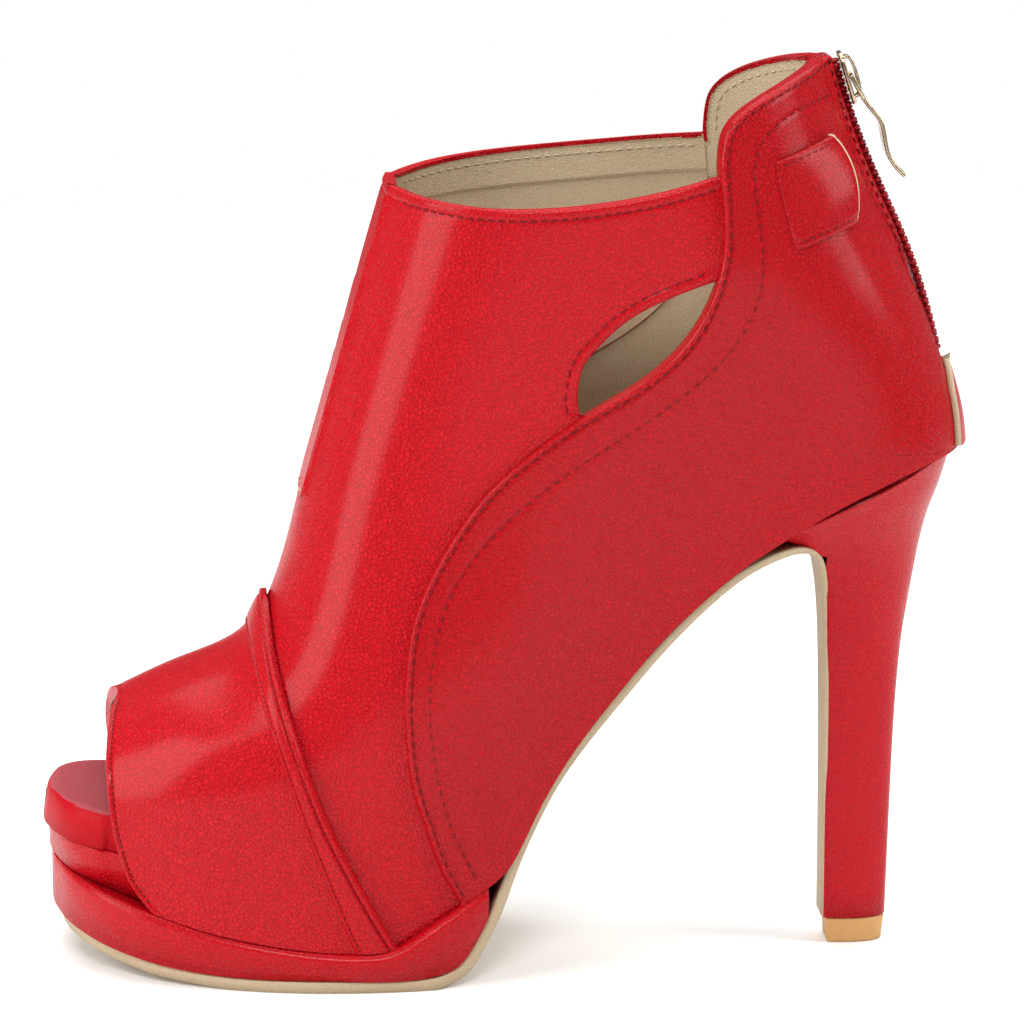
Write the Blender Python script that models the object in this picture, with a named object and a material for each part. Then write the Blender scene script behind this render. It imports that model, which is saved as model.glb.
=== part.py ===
"""A left peep-toe platform ankle boot on a stiletto heel, with a zip up its back.

Metres, +Z up. The toe points to -X and the outer side of the foot to -Y.
The origin lies on the floor, in the middle of the flat spot under the ball.
"""
import bmesh
import bpy
import numpy as np
from mathutils import Matrix, Vector

# Driving sizes of the boot
LENGTH = 0.2135
BALL_SHARE = 0.348
PLATFORM_WIDTH = 0.079
HEEL_RISE = 0.1205
SHAFT_RISE = 0.0910

# Thicknesses and clearances
WALL = 0.0016
OVERLAY = 0.0012
CAP = 0.0009
BAND = 0.0016
SOLE = 0.0028
BED_FRONT = 0.0088
BED_WAIST = 0.0032
TOP_PIECE = 0.0060
GAP = 0.0003
SEAT_GAP = 0.0005

# Sizes of the small fittings
KEEPER_WALL = 0.0012
KEEPER_LIFT = 0.0012
TAB_WALL = 0.0013
SLOT_HALF = 0.0031
CHAIN_HALF = 0.0020
CHAIN_WALL = 0.0015
SLIDER_WIDTH = 0.0082
SLIDER_LENGTH = 0.0125
SLIDER_PLATE = 0.0009
BAIL_WIDTH = 0.0026
BAIL_LENGTH = 0.0102
BAIL_HEIGHT = 0.0023
BAIL_WALL = 0.0007
PULL_WIDTH = 0.0056
PULL_WALL = 0.0009
PULL_LENGTH = 0.0262
PULL_LEAN = 0.20
PULL_WAVE = 0.0011
EYE_MARGIN = 0.0006
SLIDER_DROP = 0.0074
EYE_REACH = BAIL_LENGTH / 2 + EYE_MARGIN

# Platform and heel details
SOLE_TAPER = 0.985
SOLE_SOFT_SHARE = 0.2
RIM_LEAST = 0.0008
RIM_SOFT = 0.0022
RIM_SOFT_SHARE = 0.6
RIM_TUCK = 0.0010
MIDDLE_TUCK = 0.0022
MIDDLE_SETBACK = 0.0062
MIDDLE_SOFT = 0.0006
BED_SLACK = 0.0006
BED_SOFT = 0.0030
BED_SOFT_SHARE = 0.3
BED_THIN_FROM = 0.35
BED_THIN_TO = 0.60
BED_THIN_POWER = 0.7
UPPER_START = 0.068
TIP_INSET = 0.0002
TIP_TAPER = 0.0005

# Cutters and clean-up
MERGE = 0.00005
OVERLAP = 0.0004
FAR = 0.06
HOLE_INSIDE = 0.006
ZIP_REACH = 0.006

# How finely the pieces are divided
SIDE_COLUMNS = 12
PATH_SAMPLES = 300
SECTION_ARC = 3
SEAM_POINTS = 40
LONG_SEAM_POINTS = 60
HOLE_SEAM_POINTS = 120
INSET_TURNS = 13
HEEL_STEPS = 3
HEEL_ARC = 5
ARCH_STEPS = 10
PULL_STEPS = 16

# Lengths below are shares of LENGTH from the toe, and heights run from 0 at the
# floor to 1 at the heel seat and 2 at the top of the back.
# Front ridge of the last: length, height
RIDGE = [
    (-0.088, 0.000), (-0.074, 0.149), (-0.045, 0.299), (-0.008, 0.392), (0.041, 0.458),
    (0.095, 0.508), (0.148, 0.553), (0.191, 0.585), (0.222, 0.621), (0.244, 0.685),
    (0.262, 0.772), (0.283, 0.917), (0.308, 1.104), (0.333, 1.313), (0.358, 1.522),
    (0.377, 1.676), (0.404, 1.896), (0.442, 2.203),
]
# Back line of the last: length, height
BACK = [
    (0.993, 0.498), (0.993, 0.830), (0.992, 1.005), (0.988, 1.080), (0.980, 1.152),
    (0.970, 1.234), (0.956, 1.354), (0.933, 1.508), (0.903, 1.662), (0.873, 1.836),
    (0.852, 1.995), (0.831, 2.198),
]
# Lower edge of the upper: length, height
FEATHER = [
    (-0.027, 0.232), (0.020, 0.196), (0.067, 0.170), (0.114, 0.146), (0.161, 0.124),
    (0.207, 0.107), (0.254, 0.094), (0.301, 0.085), (0.348, 0.083), (0.376, 0.091),
    (0.409, 0.124), (0.446, 0.163), (0.479, 0.199), (0.503, 0.241), (0.526, 0.320),
    (0.554, 0.408), (0.587, 0.491), (0.620, 0.563), (0.662, 0.651), (0.704, 0.724),
    (0.746, 0.788), (0.788, 0.840), (0.830, 0.886), (0.873, 0.929), (0.915, 0.966),
    (0.957, 0.993), (0.993, 1.002),
]
# Half widths are shares of half the platform's width.
# At the lower edge: length, half width
FOOT_HALF = [
    (-0.027, 0.519), (0.039, 0.608), (0.072, 0.673), (0.114, 0.765), (0.161, 0.846),
    (0.217, 0.901), (0.282, 0.929), (0.348, 0.919), (0.414, 0.858), (0.479, 0.765),
    (0.545, 0.681), (0.610, 0.623), (0.685, 0.597), (0.770, 0.600), (0.854, 0.620),
    (0.919, 0.633), (1.004, 0.640),
]
# Above it: height, half width
SHAFT_HALF = [
    (0.332, 0.949), (0.581, 0.886), (0.830, 0.800), (1.104, 0.775), (1.434, 0.795),
    (1.764, 0.820), (2.148, 0.830),
]
# Swing of the foot's middle to the inner side: length, half width
CENTRE = [
    (-0.027, 0.208), (0.072, 0.187), (0.114, 0.157), (0.170, 0.111), (0.254, 0.061),
    (0.348, 0.030), (0.442, 0.010), (0.559, 0.000), (0.723, 0.000), (1.004, 0.000),
]
# How far the front and the back are rounded over: height, half width
FRONT_ROUND = [
    (0.332, 0.759), (0.515, 0.785), (0.622, 0.810), (0.788, 0.861), (1.104, 0.962),
    (1.654, 1.139), (2.203, 1.215),
]
BACK_ROUND = [
    (0.747, 0.658), (1.005, 0.658), (1.214, 0.734), (1.489, 0.911), (1.764, 1.114),
    (2.038, 1.215),
]
FRONT_FULLNESS = 3.0
BACK_FULLNESS = 2.4
# The edges along the zip stand up in a ridge, which grows over these heights
ZIP_RIDGE = 0.0030
FLANK_RADIUS = 0.0050
FLANK_SLOPE = 1.1
FLANK_HALF = 0.0085
FLANK_BLEND = 6
RIDGE_FROM = 1.16
RIDGE_TO = 1.60
BLEND_HEIGHT = 0.62
# Rings of the last: share along the ridge, share along the lower edge and then, past
# 1, up the back, and the rings up to the next row
RINGS = [
    (0.224, 0.022, 1), (0.257, 0.056, 2), (0.288, 0.089, 2), (0.338, 0.162, 2),
    (0.385, 0.238, 3), (0.419, 0.313, 2), (0.466, 0.395, 2), (0.522, 0.503, 2),
    (0.592, 0.635, 2), (0.667, 0.766, 2), (0.732, 0.874, 2), (0.777, 0.952, 1),
    (0.793, 0.977, 1), (0.806, 0.992, 1), (0.817, 1.000, 1), (0.828, 1.050, 1),
    (0.840, 1.115, 1), (0.853, 1.200, 2), (0.882, 1.430, 2), (0.917, 1.678, 2),
    (0.961, 1.915, 0),
]
# The lower edge starts here, and past the second share the rows turn to close below
BASE_START = 0.001
CLOSING = 0.70

# Seams of the panels, seen from the side: length, height
TOE_EDGE = [
    (0.067, 0.581), (0.093, 0.515), (0.079, 0.489), (0.073, 0.455), (0.071, 0.411),
    (0.073, 0.354), (0.077, 0.295), (0.085, 0.237), (0.093, 0.198), (0.104, 0.167),
    (0.117, 0.140), (0.133, 0.112), (0.147, 0.070),
]
BAND_FRONT = [
    (0.228, 0.720), (0.229, 0.636), (0.232, 0.607), (0.237, 0.557), (0.250, 0.483),
    (0.265, 0.400), (0.286, 0.293), (0.306, 0.198), (0.332, 0.083), (0.350, 0.020),
]
BAND_REAR = [
    (0.249, 0.760), (0.252, 0.668), (0.254, 0.640), (0.261, 0.580), (0.276, 0.486),
    (0.302, 0.354), (0.333, 0.235), (0.376, 0.092), (0.400, 0.020),
]
QUARTER_EDGE = [
    (0.480, 0.050), (0.447, 0.161), (0.425, 0.234), (0.409, 0.317), (0.395, 0.398),
    (0.389, 0.476), (0.387, 0.553), (0.389, 0.628), (0.398, 0.722), (0.415, 0.798),
    (0.443, 0.884), (0.480, 0.969), (0.522, 1.046), (0.575, 1.134), (0.638, 1.221),
    (0.681, 1.308), (0.706, 1.397), (0.720, 1.486), (0.726, 1.586), (0.724, 1.686),
    (0.721, 1.760),
]
HOLE = [
    (0.5755, 1.141), (0.573, 1.170), (0.574, 1.220), (0.580, 1.269), (0.596, 1.316),
    (0.622, 1.373), (0.659, 1.423), (0.690, 1.453), (0.718, 1.477),
]
COLLAR_OUTER = [
    (0.260, 1.830), (0.320, 1.731), (0.382, 1.685), (0.419, 1.674), (0.459, 1.665),
    (0.521, 1.662), (0.595, 1.674), (0.658, 1.699), (0.720, 1.738),
]
COLLAR_INNER = [
    (0.260, 1.830), (0.320, 1.731), (0.382, 1.685), (0.419, 1.689), (0.459, 1.697),
    (0.531, 1.709), (0.620, 1.724), (0.685, 1.735), (0.732, 1.742),
]
TAB_EDGE = [
    (0.721, 1.760), (0.723, 1.809), (0.729, 1.857), (0.749, 1.903), (0.788, 1.948),
    (0.824, 1.979), (0.863, 2.001), (0.933, 2.016),
]
INNER_SETBACK = 0.013
KEEPER_CORNERS = [(0.778, 1.769), (0.835, 1.809), (0.862, 1.588), (0.802, 1.548)]
ZIP_FOOT = 1.185
CHAIN_FOOT = 1.230

# Counter tab from behind: half width, height
COUNTER_TAB = [(0.280, 0.960), (0.275, 1.010), (0.240, 1.090), (0.170, 1.165), (0.080, 1.210)]

# Underside of the outsole and down the heel's breast:
# length, height, half width, thickness as a share of SOLE
OUTSOLE = [
    (0.0200, 0.0620, 0.030, 1.00), (0.0215, 0.0605, 0.120, 1.00), (0.0245, 0.0585, 0.205, 1.00),
    (0.030, 0.055, 0.300, 1.00), (0.039, 0.050, 0.400, 1.00), (0.053, 0.042, 0.520, 1.00),
    (0.075, 0.032, 0.645, 1.00), (0.100, 0.022, 0.735, 1.00), (0.123, 0.015, 0.800, 1.00),
    (0.179, 0.004, 0.885, 1.00), (0.245, 0.000, 0.950, 1.00), (0.320, 0.000, 0.972, 1.00),
    (0.404, 0.000, 0.935, 1.00), (0.432, 0.007, 0.895, 1.00), (0.453, 0.023, 0.845, 1.00),
    (0.470, 0.060, 0.800, 0.96), (0.483, 0.100, 0.765, 0.93), (0.494, 0.139, 0.740, 0.93),
    (0.511, 0.218, 0.705, 0.90), (0.531, 0.297, 0.675, 0.90), (0.555, 0.376, 0.645, 0.90),
    (0.587, 0.455, 0.615, 0.86), (0.623, 0.532, 0.592, 0.82), (0.660, 0.610, 0.580, 0.80),
    (0.701, 0.687, 0.573, 0.76), (0.750, 0.764, 0.575, 0.72), (0.788, 0.802, 0.572, 0.66),
    (0.812, 0.814, 0.540, 0.58), (0.829, 0.808, 0.470, 0.50), (0.840, 0.786, 0.385, 0.46),
    (0.846, 0.745, 0.300, 0.46), (0.850, 0.680, 0.220, 0.46), (0.852, 0.560, 0.158, 0.46),
    (0.853, 0.330, 0.124, 0.46), (0.853, 0.056, 0.116, 0.46),
]
# Rows above that face straight up, that lie in the forefoot, and where the waist starts
FLAT_ROWS = 13
FOREFOOT_ROWS = 23
WAIST_ROW = 21
# Plan of the platform's rim: length, half width
RIM_PLAN = [
    (0.0090, 0.030), (0.0105, 0.125), (0.0135, 0.212), (0.019, 0.310), (0.028, 0.430),
    (0.042, 0.550), (0.064, 0.680), (0.090, 0.775), (0.120, 0.845), (0.160, 0.900),
    (0.200, 0.938), (0.245, 0.970), (0.290, 0.990), (0.335, 1.000), (0.375, 0.990),
    (0.410, 0.955), (0.440, 0.905), (0.460, 0.865), (0.478, 0.820),
]
# Plan of the insole and of the layer under it where they show in front of the upper
BED_PLAN = [
    (0.0002, 0.030), (0.0015, 0.118), (0.0045, 0.208), (0.010, 0.306), (0.019, 0.420),
    (0.036, 0.535), (0.058, 0.610), (0.080, 0.660), (0.112, 0.730), (0.160, 0.900),
]
# Underside of the insole: length, height
BED = [
    (0.000, 0.262), (0.067, 0.247), (0.114, 0.235), (0.184, 0.214), (0.254, 0.196),
    (0.348, 0.184), (0.404, 0.190), (0.442, 0.208), (0.479, 0.246), (0.503, 0.288),
    (0.526, 0.348), (0.554, 0.428), (0.587, 0.508), (0.620, 0.578), (0.662, 0.664),
    (0.704, 0.736), (0.746, 0.798), (0.788, 0.849), (0.830, 0.895), (0.873, 0.937),
    (0.915, 0.973), (0.957, 0.998), (0.982, 1.010),
]
# Lengths of the sections of the insole and of the middle layer
BED_STATIONS = [
    0.0002, 0.0015, 0.0045, 0.010, 0.019, 0.036, 0.058, 0.080, 0.112, 0.150, 0.190, 0.240,
    0.290, 0.348, 0.404, 0.442, 0.479, 0.503, 0.526, 0.554, 0.587, 0.620, 0.662, 0.704,
    0.746, 0.788, 0.830, 0.873, 0.910, 0.940, 0.960, 0.973, 0.980,
]
MIDDLE_STATIONS = [
    0.0065, 0.008, 0.011, 0.0165, 0.026, 0.045, 0.070, 0.100, 0.130, 0.160, 0.200, 0.250,
    0.300, 0.350, 0.400, 0.430, 0.455,
]
# Heel above its top piece, with heights from 0 there to 1 at the seat:
# front length and height, back length and height, half width
HEEL = [
    (0.858, 0.000, 0.926, 0.000, 0.137), (0.858, 0.295, 0.931, 0.295, 0.142),
    (0.858, 0.472, 0.935, 0.467, 0.162), (0.857, 0.578, 0.940, 0.584, 0.200),
    (0.856, 0.645, 0.946, 0.662, 0.245), (0.852, 0.715, 0.954, 0.755, 0.316),
    (0.845, 0.764, 0.965, 0.851, 0.412), (0.832, 0.795, 0.978, 0.921, 0.500),
    (0.815, 0.821, 0.986, 0.974, 0.580), (0.795, 0.842, 0.990, 1.011, 0.620),
]
# Its section: share of the way back, share of the half width
HEEL_SECTION = [(0.0, 0.74), (0.02, 0.86), (0.20, 0.96), (0.42, 1.0)]
HEEL_BACK_POWER = 0.9
# The bail's outline is an ellipse made squarer: across and upwards
BAIL_POWERS = (0.8, 0.45)


def along(share):
    return (np.asarray(share, float) - BALL_SHARE) * LENGTH


def up(share):
    share = np.asarray(share, float)
    return np.minimum(share, 1) * HEEL_RISE + np.maximum(share - 1, 0) * SHAFT_RISE


def half(share):
    return np.asarray(share, float) * PLATFORM_WIDTH / 2


def share_along(x):
    return np.asarray(x, float) / LENGTH + BALL_SHARE


def share_up(z):
    z = np.asarray(z, float)
    return np.minimum(z, HEEL_RISE) / HEEL_RISE + np.maximum(z - HEEL_RISE, 0) / SHAFT_RISE


def spline(keys, values):
    """A natural cubic through the values, straight past both ends."""
    keys = np.asarray(keys, float)
    values = np.asarray(values, float)
    count = len(keys)
    steps = np.diff(keys)
    slopes = np.diff(values) / steps
    matrix = np.eye(count)
    changes = np.zeros(count)
    for i in range(1, count - 1):
        matrix[i, i - 1:i + 2] = steps[i - 1], 2 * (steps[i - 1] + steps[i]), steps[i]
        changes[i] = 6 * (slopes[i] - slopes[i - 1])
    bends = np.linalg.solve(matrix, changes)
    first = slopes[0] - steps[0] * bends[1] / 6
    last = slopes[-1] + steps[-1] * bends[-2] / 6

    def value_at(query):
        query = np.asarray(query, float)
        inside = np.clip(query, keys[0], keys[-1])
        i = np.clip(np.searchsorted(keys, inside) - 1, 0, count - 2)
        after = inside - keys[i]
        before = keys[i + 1] - inside
        step = steps[i]
        cubic = (bends[i] * before**3 + bends[i + 1] * after**3) / (6 * step)
        left = (values[i] / step - bends[i] * step / 6) * before
        right = (values[i + 1] / step - bends[i + 1] * step / 6) * after
        ends = np.minimum(query - keys[0], 0) * first + np.maximum(query - keys[-1], 0) * last
        return cubic + left + right + ends

    return value_at


def lengths_along(points):
    steps = np.linalg.norm(np.diff(points, axis=0), axis=1)
    return np.concatenate([[0], np.cumsum(steps)])


def smooth_path(points, count=PATH_SAMPLES):
    """Even samples of the smooth curve through a few points."""
    points = np.asarray(points, float)
    reach = lengths_along(points)
    even = np.linspace(0, reach[-1], count)
    columns = [spline(reach, points[:, i])(even) for i in range(points.shape[1])]
    return np.stack(columns, axis=-1)


def side_points(rows):
    """Rows of length and height as points seen from the side."""
    rows = np.asarray(rows, float)
    return np.stack([along(rows[:, 0]), up(rows[:, 1])], axis=-1)


def column_spline(rows, column=1):
    rows = np.asarray(rows, float)
    return spline(rows[:, 0], rows[:, column])


# The last: a smooth body given by its outline and half widths
ridge_path = smooth_path(side_points(RIDGE))
back_path = smooth_path(side_points(BACK))
feather_height = column_spline(FEATHER)
foot_half = column_spline(FOOT_HALF)
shaft_half = column_spline(SHAFT_HALF)
centre_share = column_spline(CENTRE)
front_round = column_spline(FRONT_ROUND)
back_round = column_spline(BACK_ROUND)


def nearest(path, points):
    """Distance from each point to the path, and the height of the path there."""
    starts = path[:-1]
    runs = np.diff(path, axis=0)
    offsets = points[:, None] - starts
    shares = np.clip((offsets * runs).sum(-1) / (runs**2).sum(-1), 0, 1)
    feet = starts + shares[..., None] * runs
    distances = np.linalg.norm(points[:, None] - feet, axis=-1)
    best = distances.argmin(axis=1)
    rows = np.arange(len(points))
    return distances[rows, best], feet[rows, best, 1]


def rounding(distance, reach, fullness):
    return np.sqrt(1 - (1 - np.clip(distance / reach, 0, 1))**fullness)


def smooth_step(share):
    share = np.clip(share, 0, 1)
    return share * share * (3 - 2 * share)


def half_width(x, z):
    """Half width of the last at points seen from the side."""
    points = np.stack([np.ravel(x), np.ravel(z)], axis=-1)
    from_ridge, ridge_z = nearest(ridge_path, points)
    from_back, back_z = nearest(back_path, points)
    x_share = share_along(points[:, 0])
    rise = (points[:, 1] - up(feather_height(x_share))) / (BLEND_HEIGHT * HEEL_RISE)
    blend = smooth_step(rise)
    full = foot_half(x_share) * (1 - blend) + shaft_half(share_up(points[:, 1])) * blend
    front = rounding(from_ridge, half(front_round(share_up(ridge_z))), FRONT_FULLNESS)
    back_share = share_up(back_z)
    grown = smooth_step((back_share - RIDGE_FROM) / (RIDGE_TO - RIDGE_FROM))
    inward = from_back - ZIP_RIDGE * grown
    back = rounding(inward, half(back_round(back_share)), BACK_FULLNESS)
    body = half(full) * front * back
    flank = np.hypot(np.sqrt(2 * FLANK_RADIUS * from_back), FLANK_SLOPE * from_back)
    flank = grown * np.minimum(flank, FLANK_HALF)
    joined = (body**FLANK_BLEND + flank**FLANK_BLEND)**(1 / FLANK_BLEND)
    return joined.reshape(np.shape(x))


def centre(x):
    return half(centre_share(share_along(x)))


def point_at(path, share):
    """Point of a path at a share of its length."""
    reach = lengths_along(path)
    return np.array([np.interp(share * reach[-1], reach, path[:, i]) for i in (0, 1)])


def base_point(share):
    """Point of the lower edge, toe to seat, or past 1 of the back line above it."""
    shares = np.linspace(BASE_START, BACK[2][0], PATH_SAMPLES)
    lower = np.stack([along(shares), up(feather_height(shares))], axis=-1)
    if share <= 1:
        return point_at(lower, share)
    above = np.concatenate([lower[-1:], back_path[back_path[:, 1] > lower[-1, 1]]])
    return point_at(above, share - 1)


def ring_shares():
    """Shares of the ridge and of the base for every ring."""
    index = [i + j / row[2] for i, row in enumerate(RINGS[:-1]) for j in range(row[2])]
    index.append(len(RINGS) - 1)
    keys = range(len(RINGS))
    return [[np.interp(i, keys, [row[k] for row in RINGS]) for k in (0, 1)] for i in index]


def skin_rows():
    """Rows of points over the last, each from edge to edge across the ridge."""
    t = np.linspace(0, 1, SIDE_COLUMNS + 1)
    rows = []
    for ridge_share, base_share in ring_shares():
        top = point_at(ridge_path, ridge_share)
        low = base_point(base_share)
        closed = np.clip((base_share - CLOSING) / (1 - CLOSING), 0, 1)
        rise = (1 - closed) * np.sin(np.pi / 2 * t) + closed * (1 - np.cos(np.pi * t)) / 2
        side = low + (top - low) * rise[:, None]
        width = half_width(side[:, 0], side[:, 1])
        width[-1] = 0
        if base_share >= 1:
            width[0] = 0
        middle = centre(side[:, 0])
        outer = np.stack([side[:, 0], middle - width, side[:, 1]], axis=-1)
        inner = np.stack([side[:, 0], middle + width, side[:, 1]], axis=-1)
        rows.append(np.concatenate([outer, inner[-2::-1]]))
    return rows


# Blender helpers
def clear_scene():
    for item in list(bpy.data.objects):
        bpy.data.objects.remove(item)


def new_collection(name):
    collection = bpy.data.collections.new(name)
    bpy.context.scene.collection.children.link(collection)
    return collection


def finish_mesh(name, bm, collection, smooth=True):
    bmesh.ops.remove_doubles(bm, verts=bm.verts, dist=MERGE)
    bmesh.ops.recalc_face_normals(bm, faces=bm.faces)
    mesh = bpy.data.meshes.new(name)
    bm.to_mesh(mesh)
    bm.free()
    if smooth:
        mesh.shade_smooth()
    piece = bpy.data.objects.new(name, mesh)
    collection.objects.link(piece)
    return piece


def material(name, colour, roughness, metallic=0.0):
    finish = bpy.data.materials.new(name)
    finish.use_nodes = True
    shader = finish.node_tree.nodes["Principled BSDF"]
    shader.inputs["Base Color"].default_value = (*colour, 1.0)
    shader.inputs["Roughness"].default_value = roughness
    shader.inputs["Metallic"].default_value = metallic
    return finish


def cutter(name, outline, axis, start, end):
    """A prism with its outline seen along Y or X, for the Boolean modifiers."""
    bm = bmesh.new()
    if axis == "Y":
        base = [bm.verts.new((a, start, b)) for a, b in outline]
        sweep = Vector((0, end - start, 0))
    else:
        base = [bm.verts.new((start, a, b)) for a, b in outline]
        sweep = Vector((end - start, 0, 0))
    face = bm.faces.new(base)
    moved = bmesh.ops.extrude_face_region(bm, geom=[face], use_keep_orig=True)
    fresh = [v for v in moved["geom"] if isinstance(v, bmesh.types.BMVert)]
    bmesh.ops.translate(bm, verts=fresh, vec=sweep)
    tool = finish_mesh(name, bm, CUTTERS, smooth=False)
    hide(tool)
    return tool


def hide(tool):
    tool.hide_render = True
    tool.display_type = "WIRE"


def boolean(piece, operation, *tools):
    for tool in tools:
        step = piece.modifiers.new(tool.name, "BOOLEAN")
        step.operation = operation
        step.solver = "EXACT"
        step.object = tool


def skin(name, finish, low, high):
    """A shell over the last, from one height off it to another.

    Each height is a number, or a function of the place on the last.
    """
    bm = bmesh.new()
    rows = [[bm.verts.new(point) for point in row] for row in SKIN_ROWS]
    for before, after in zip(rows, rows[1:]):
        for i in range(len(before) - 1):
            bm.faces.new((before[i], after[i], after[i + 1], before[i + 1]))
    bmesh.ops.remove_doubles(bm, verts=bm.verts, dist=MERGE)
    bmesh.ops.triangulate(bm, faces=bm.faces[:])
    bm.normal_update()
    outward = bm.verts.layers.float_vector.new("outward")
    for vert in bm.verts:
        vert[outward] = vert.normal
    inside = set(bm.verts)
    bmesh.ops.extrude_face_region(bm, geom=bm.faces[:], use_keep_orig=True)
    places = {}
    for vert in bm.verts:
        height = low if vert in inside else high
        lift = height(vert.co) if callable(height) else height
        places[vert] = vert.co + vert[outward] * lift
    for vert, place in places.items():
        vert.co = place
    bm.verts.layers.float_vector.remove(outward)
    piece = finish_mesh(name, bm, BOOT)
    piece.data.materials.append(finish)
    return piece


def loft(name, finish, sections):
    """A closed solid through rings of equally many points."""
    bm = bmesh.new()
    rings = [[bm.verts.new(point) for point in ring] for ring in sections]
    for low, high in zip(rings, rings[1:]):
        for i in range(len(low)):
            j = (i + 1) % len(low)
            bm.faces.new((low[i], low[j], high[j], high[i]))
    bm.faces.new(rings[0])
    bm.faces.new(rings[-1])
    piece = finish_mesh(name, bm, BOOT)
    piece.data.materials.append(finish)
    return piece


def slab_ring(bottom, top, half_bottom, half_top, soft, middle):
    """A cross section of a sole layer: flat below, with rounded upper edges.

    The bottom and the top are points seen from the side.
    """
    bottom = np.asarray(bottom, float)
    top = np.asarray(top, float)
    thick = np.linalg.norm(top - bottom)
    soft_share = min(soft / thick, 1)
    points = [(half_bottom, 0.0)]
    for step in range(SECTION_ARC + 1):
        angle = np.pi / 2 * step / SECTION_ARC
        across = half_top - soft * (1 - np.cos(angle))
        points.append((across, 1 - soft_share * (1 - np.sin(angle))))
    points += [(-across, share) for across, share in reversed(points)]
    ring = []
    for across, share in points:
        x, z = bottom + (top - bottom) * share
        ring.append((x, middle + across, z))
    return ring


def normals_up(path):
    """Unit normals of a side-view path, on its left."""
    runs = np.gradient(path, axis=0)
    runs /= np.linalg.norm(runs, axis=1)[:, None]
    return np.stack([-runs[:, 1], runs[:, 0]], axis=-1)


# Outlines of the cutters
def shifted(rows, shift):
    return [(length + shift, height) for length, height in rows]


def seam(rows, shift=0.0, count=SEAM_POINTS):
    return list(map(tuple, smooth_path(side_points(shifted(rows, shift)), count)))


def corners(*rows):
    return list(map(tuple, side_points(rows)))


def side_cutters(side):
    """The cutters for one side of the foot: -1 is the outer side, 1 the inner."""
    shift = INNER_SETBACK if side > 0 else 0.0
    collar = COLLAR_INNER if side > 0 else COLLAR_OUTER
    label = "inner" if side > 0 else "outer"
    near = -side * OVERLAP
    far = side * FAR
    above = seam(collar) + seam(TAB_EDGE, shift)
    above += corners((1.2, 2.05), (1.2, 2.6), (0.1, 2.6), (0.1, 1.9))
    front = seam(QUARTER_EDGE, shift, LONG_SEAM_POINTS)
    front += corners((0.721 + shift, 2.6), (-0.2, 2.6), (-0.2, -0.1), (0.49, -0.1))
    return {
        "above": cutter("cut_above_" + label, above, "Y", near, far),
        "front": cutter("cut_front_" + label, front, "Y", near, far),
    }


def cut_out():
    """The cutter for the cut-out in the outer side, which the quarter's edge closes below."""
    hole = seam(HOLE)
    (start, low), (end, high) = hole[0], hole[-1]
    lower = seam(QUARTER_EDGE, count=HOLE_SEAM_POINTS)
    hole += [p for p in lower if start < p[0] < end and low < p[1] < high][::-1]
    return cutter("cut_out", hole, "Y", -HOLE_INSIDE, -FAR)


def zip_outline(foot, trim=0.0):
    """A strip along the back line, from a height upwards, seen from the side."""
    line = back_path[back_path[:, 1] > up(foot) + trim][::6]
    outside = -normals_up(line)
    inner = line - outside * ZIP_REACH
    outer = line + outside * ZIP_REACH
    return list(map(tuple, inner)) + list(map(tuple, outer[::-1]))


def build_upper(finish):
    """The vamp with its lining: one wall, open at toe, collar, outer side and below."""
    upper = skin("upper", finish, -WALL, 0.0)
    boolean(upper, "DIFFERENCE", TOE_CUT, OUTER["above"], INNER["above"])
    boolean(upper, "DIFFERENCE", CUT_OUT, SLOT)
    return upper


def build_quarters(finish):
    """The two quarters: one overlay from the rolled front edges round the heel."""
    quarters = skin("quarters", finish, GAP, GAP + OVERLAY)
    boolean(quarters, "DIFFERENCE", OUTER["front"], INNER["front"])
    boolean(quarters, "DIFFERENCE", OUTER["above"], INNER["above"], SLOT)
    return quarters


def build_toe_pieces(cap_finish, band_finish):
    """The toe cap in front and the raised band behind it."""
    cap_outline = seam(TOE_EDGE) + seam(BAND_FRONT)[::-1]
    front = [(x + GAP, z) for x, z in seam(BAND_FRONT)]
    band_outline = front + seam(BAND_REAR)[::-1]
    cap = skin("toe_cap", cap_finish, GAP, GAP + CAP)
    boolean(cap, "INTERSECT", cutter("cut_cap", cap_outline, "Y", -FAR, FAR))
    band = skin("toe_band", band_finish, GAP, GAP + BAND)
    boolean(band, "INTERSECT", cutter("cut_band", band_outline, "Y", -FAR, FAR))


def build_keepers(finish):
    """The strap keeper on each quarter: its rear end stands off the leather."""
    outline = corners(*KEEPER_CORNERS)
    front_x = min(point[0] for point in outline)
    reach = max(point[0] for point in outline) - front_x
    seat = GAP + OVERLAY + GAP

    def under(place):
        share = min(max((place.x - front_x) / reach, 0), 1)
        return seat + KEEPER_LIFT * share * share

    def over(place):
        return under(place) + KEEPER_WALL

    for label, side in (("outer", -1), ("inner", 1)):
        keeper = skin("keeper_" + label, finish, under, over)
        tool = cutter("cut_keeper_" + label, outline, "Y", side * HOLE_INSIDE, side * FAR)
        boolean(keeper, "INTERSECT", tool)


def build_counter_tab(finish):
    """The leather patch over the foot of the zip."""
    seat = GAP + OVERLAY + GAP
    tab = skin("counter_tab", finish, seat, seat + TAB_WALL)
    left = [(float(half(width)), float(up(height))) for width, height in COUNTER_TAB]
    outline = left + [(-y, z) for y, z in reversed(left)]
    tool = cutter("cut_counter", outline, "X", along(0.85), along(1.1))
    boolean(tab, "INTERSECT", tool)


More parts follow.
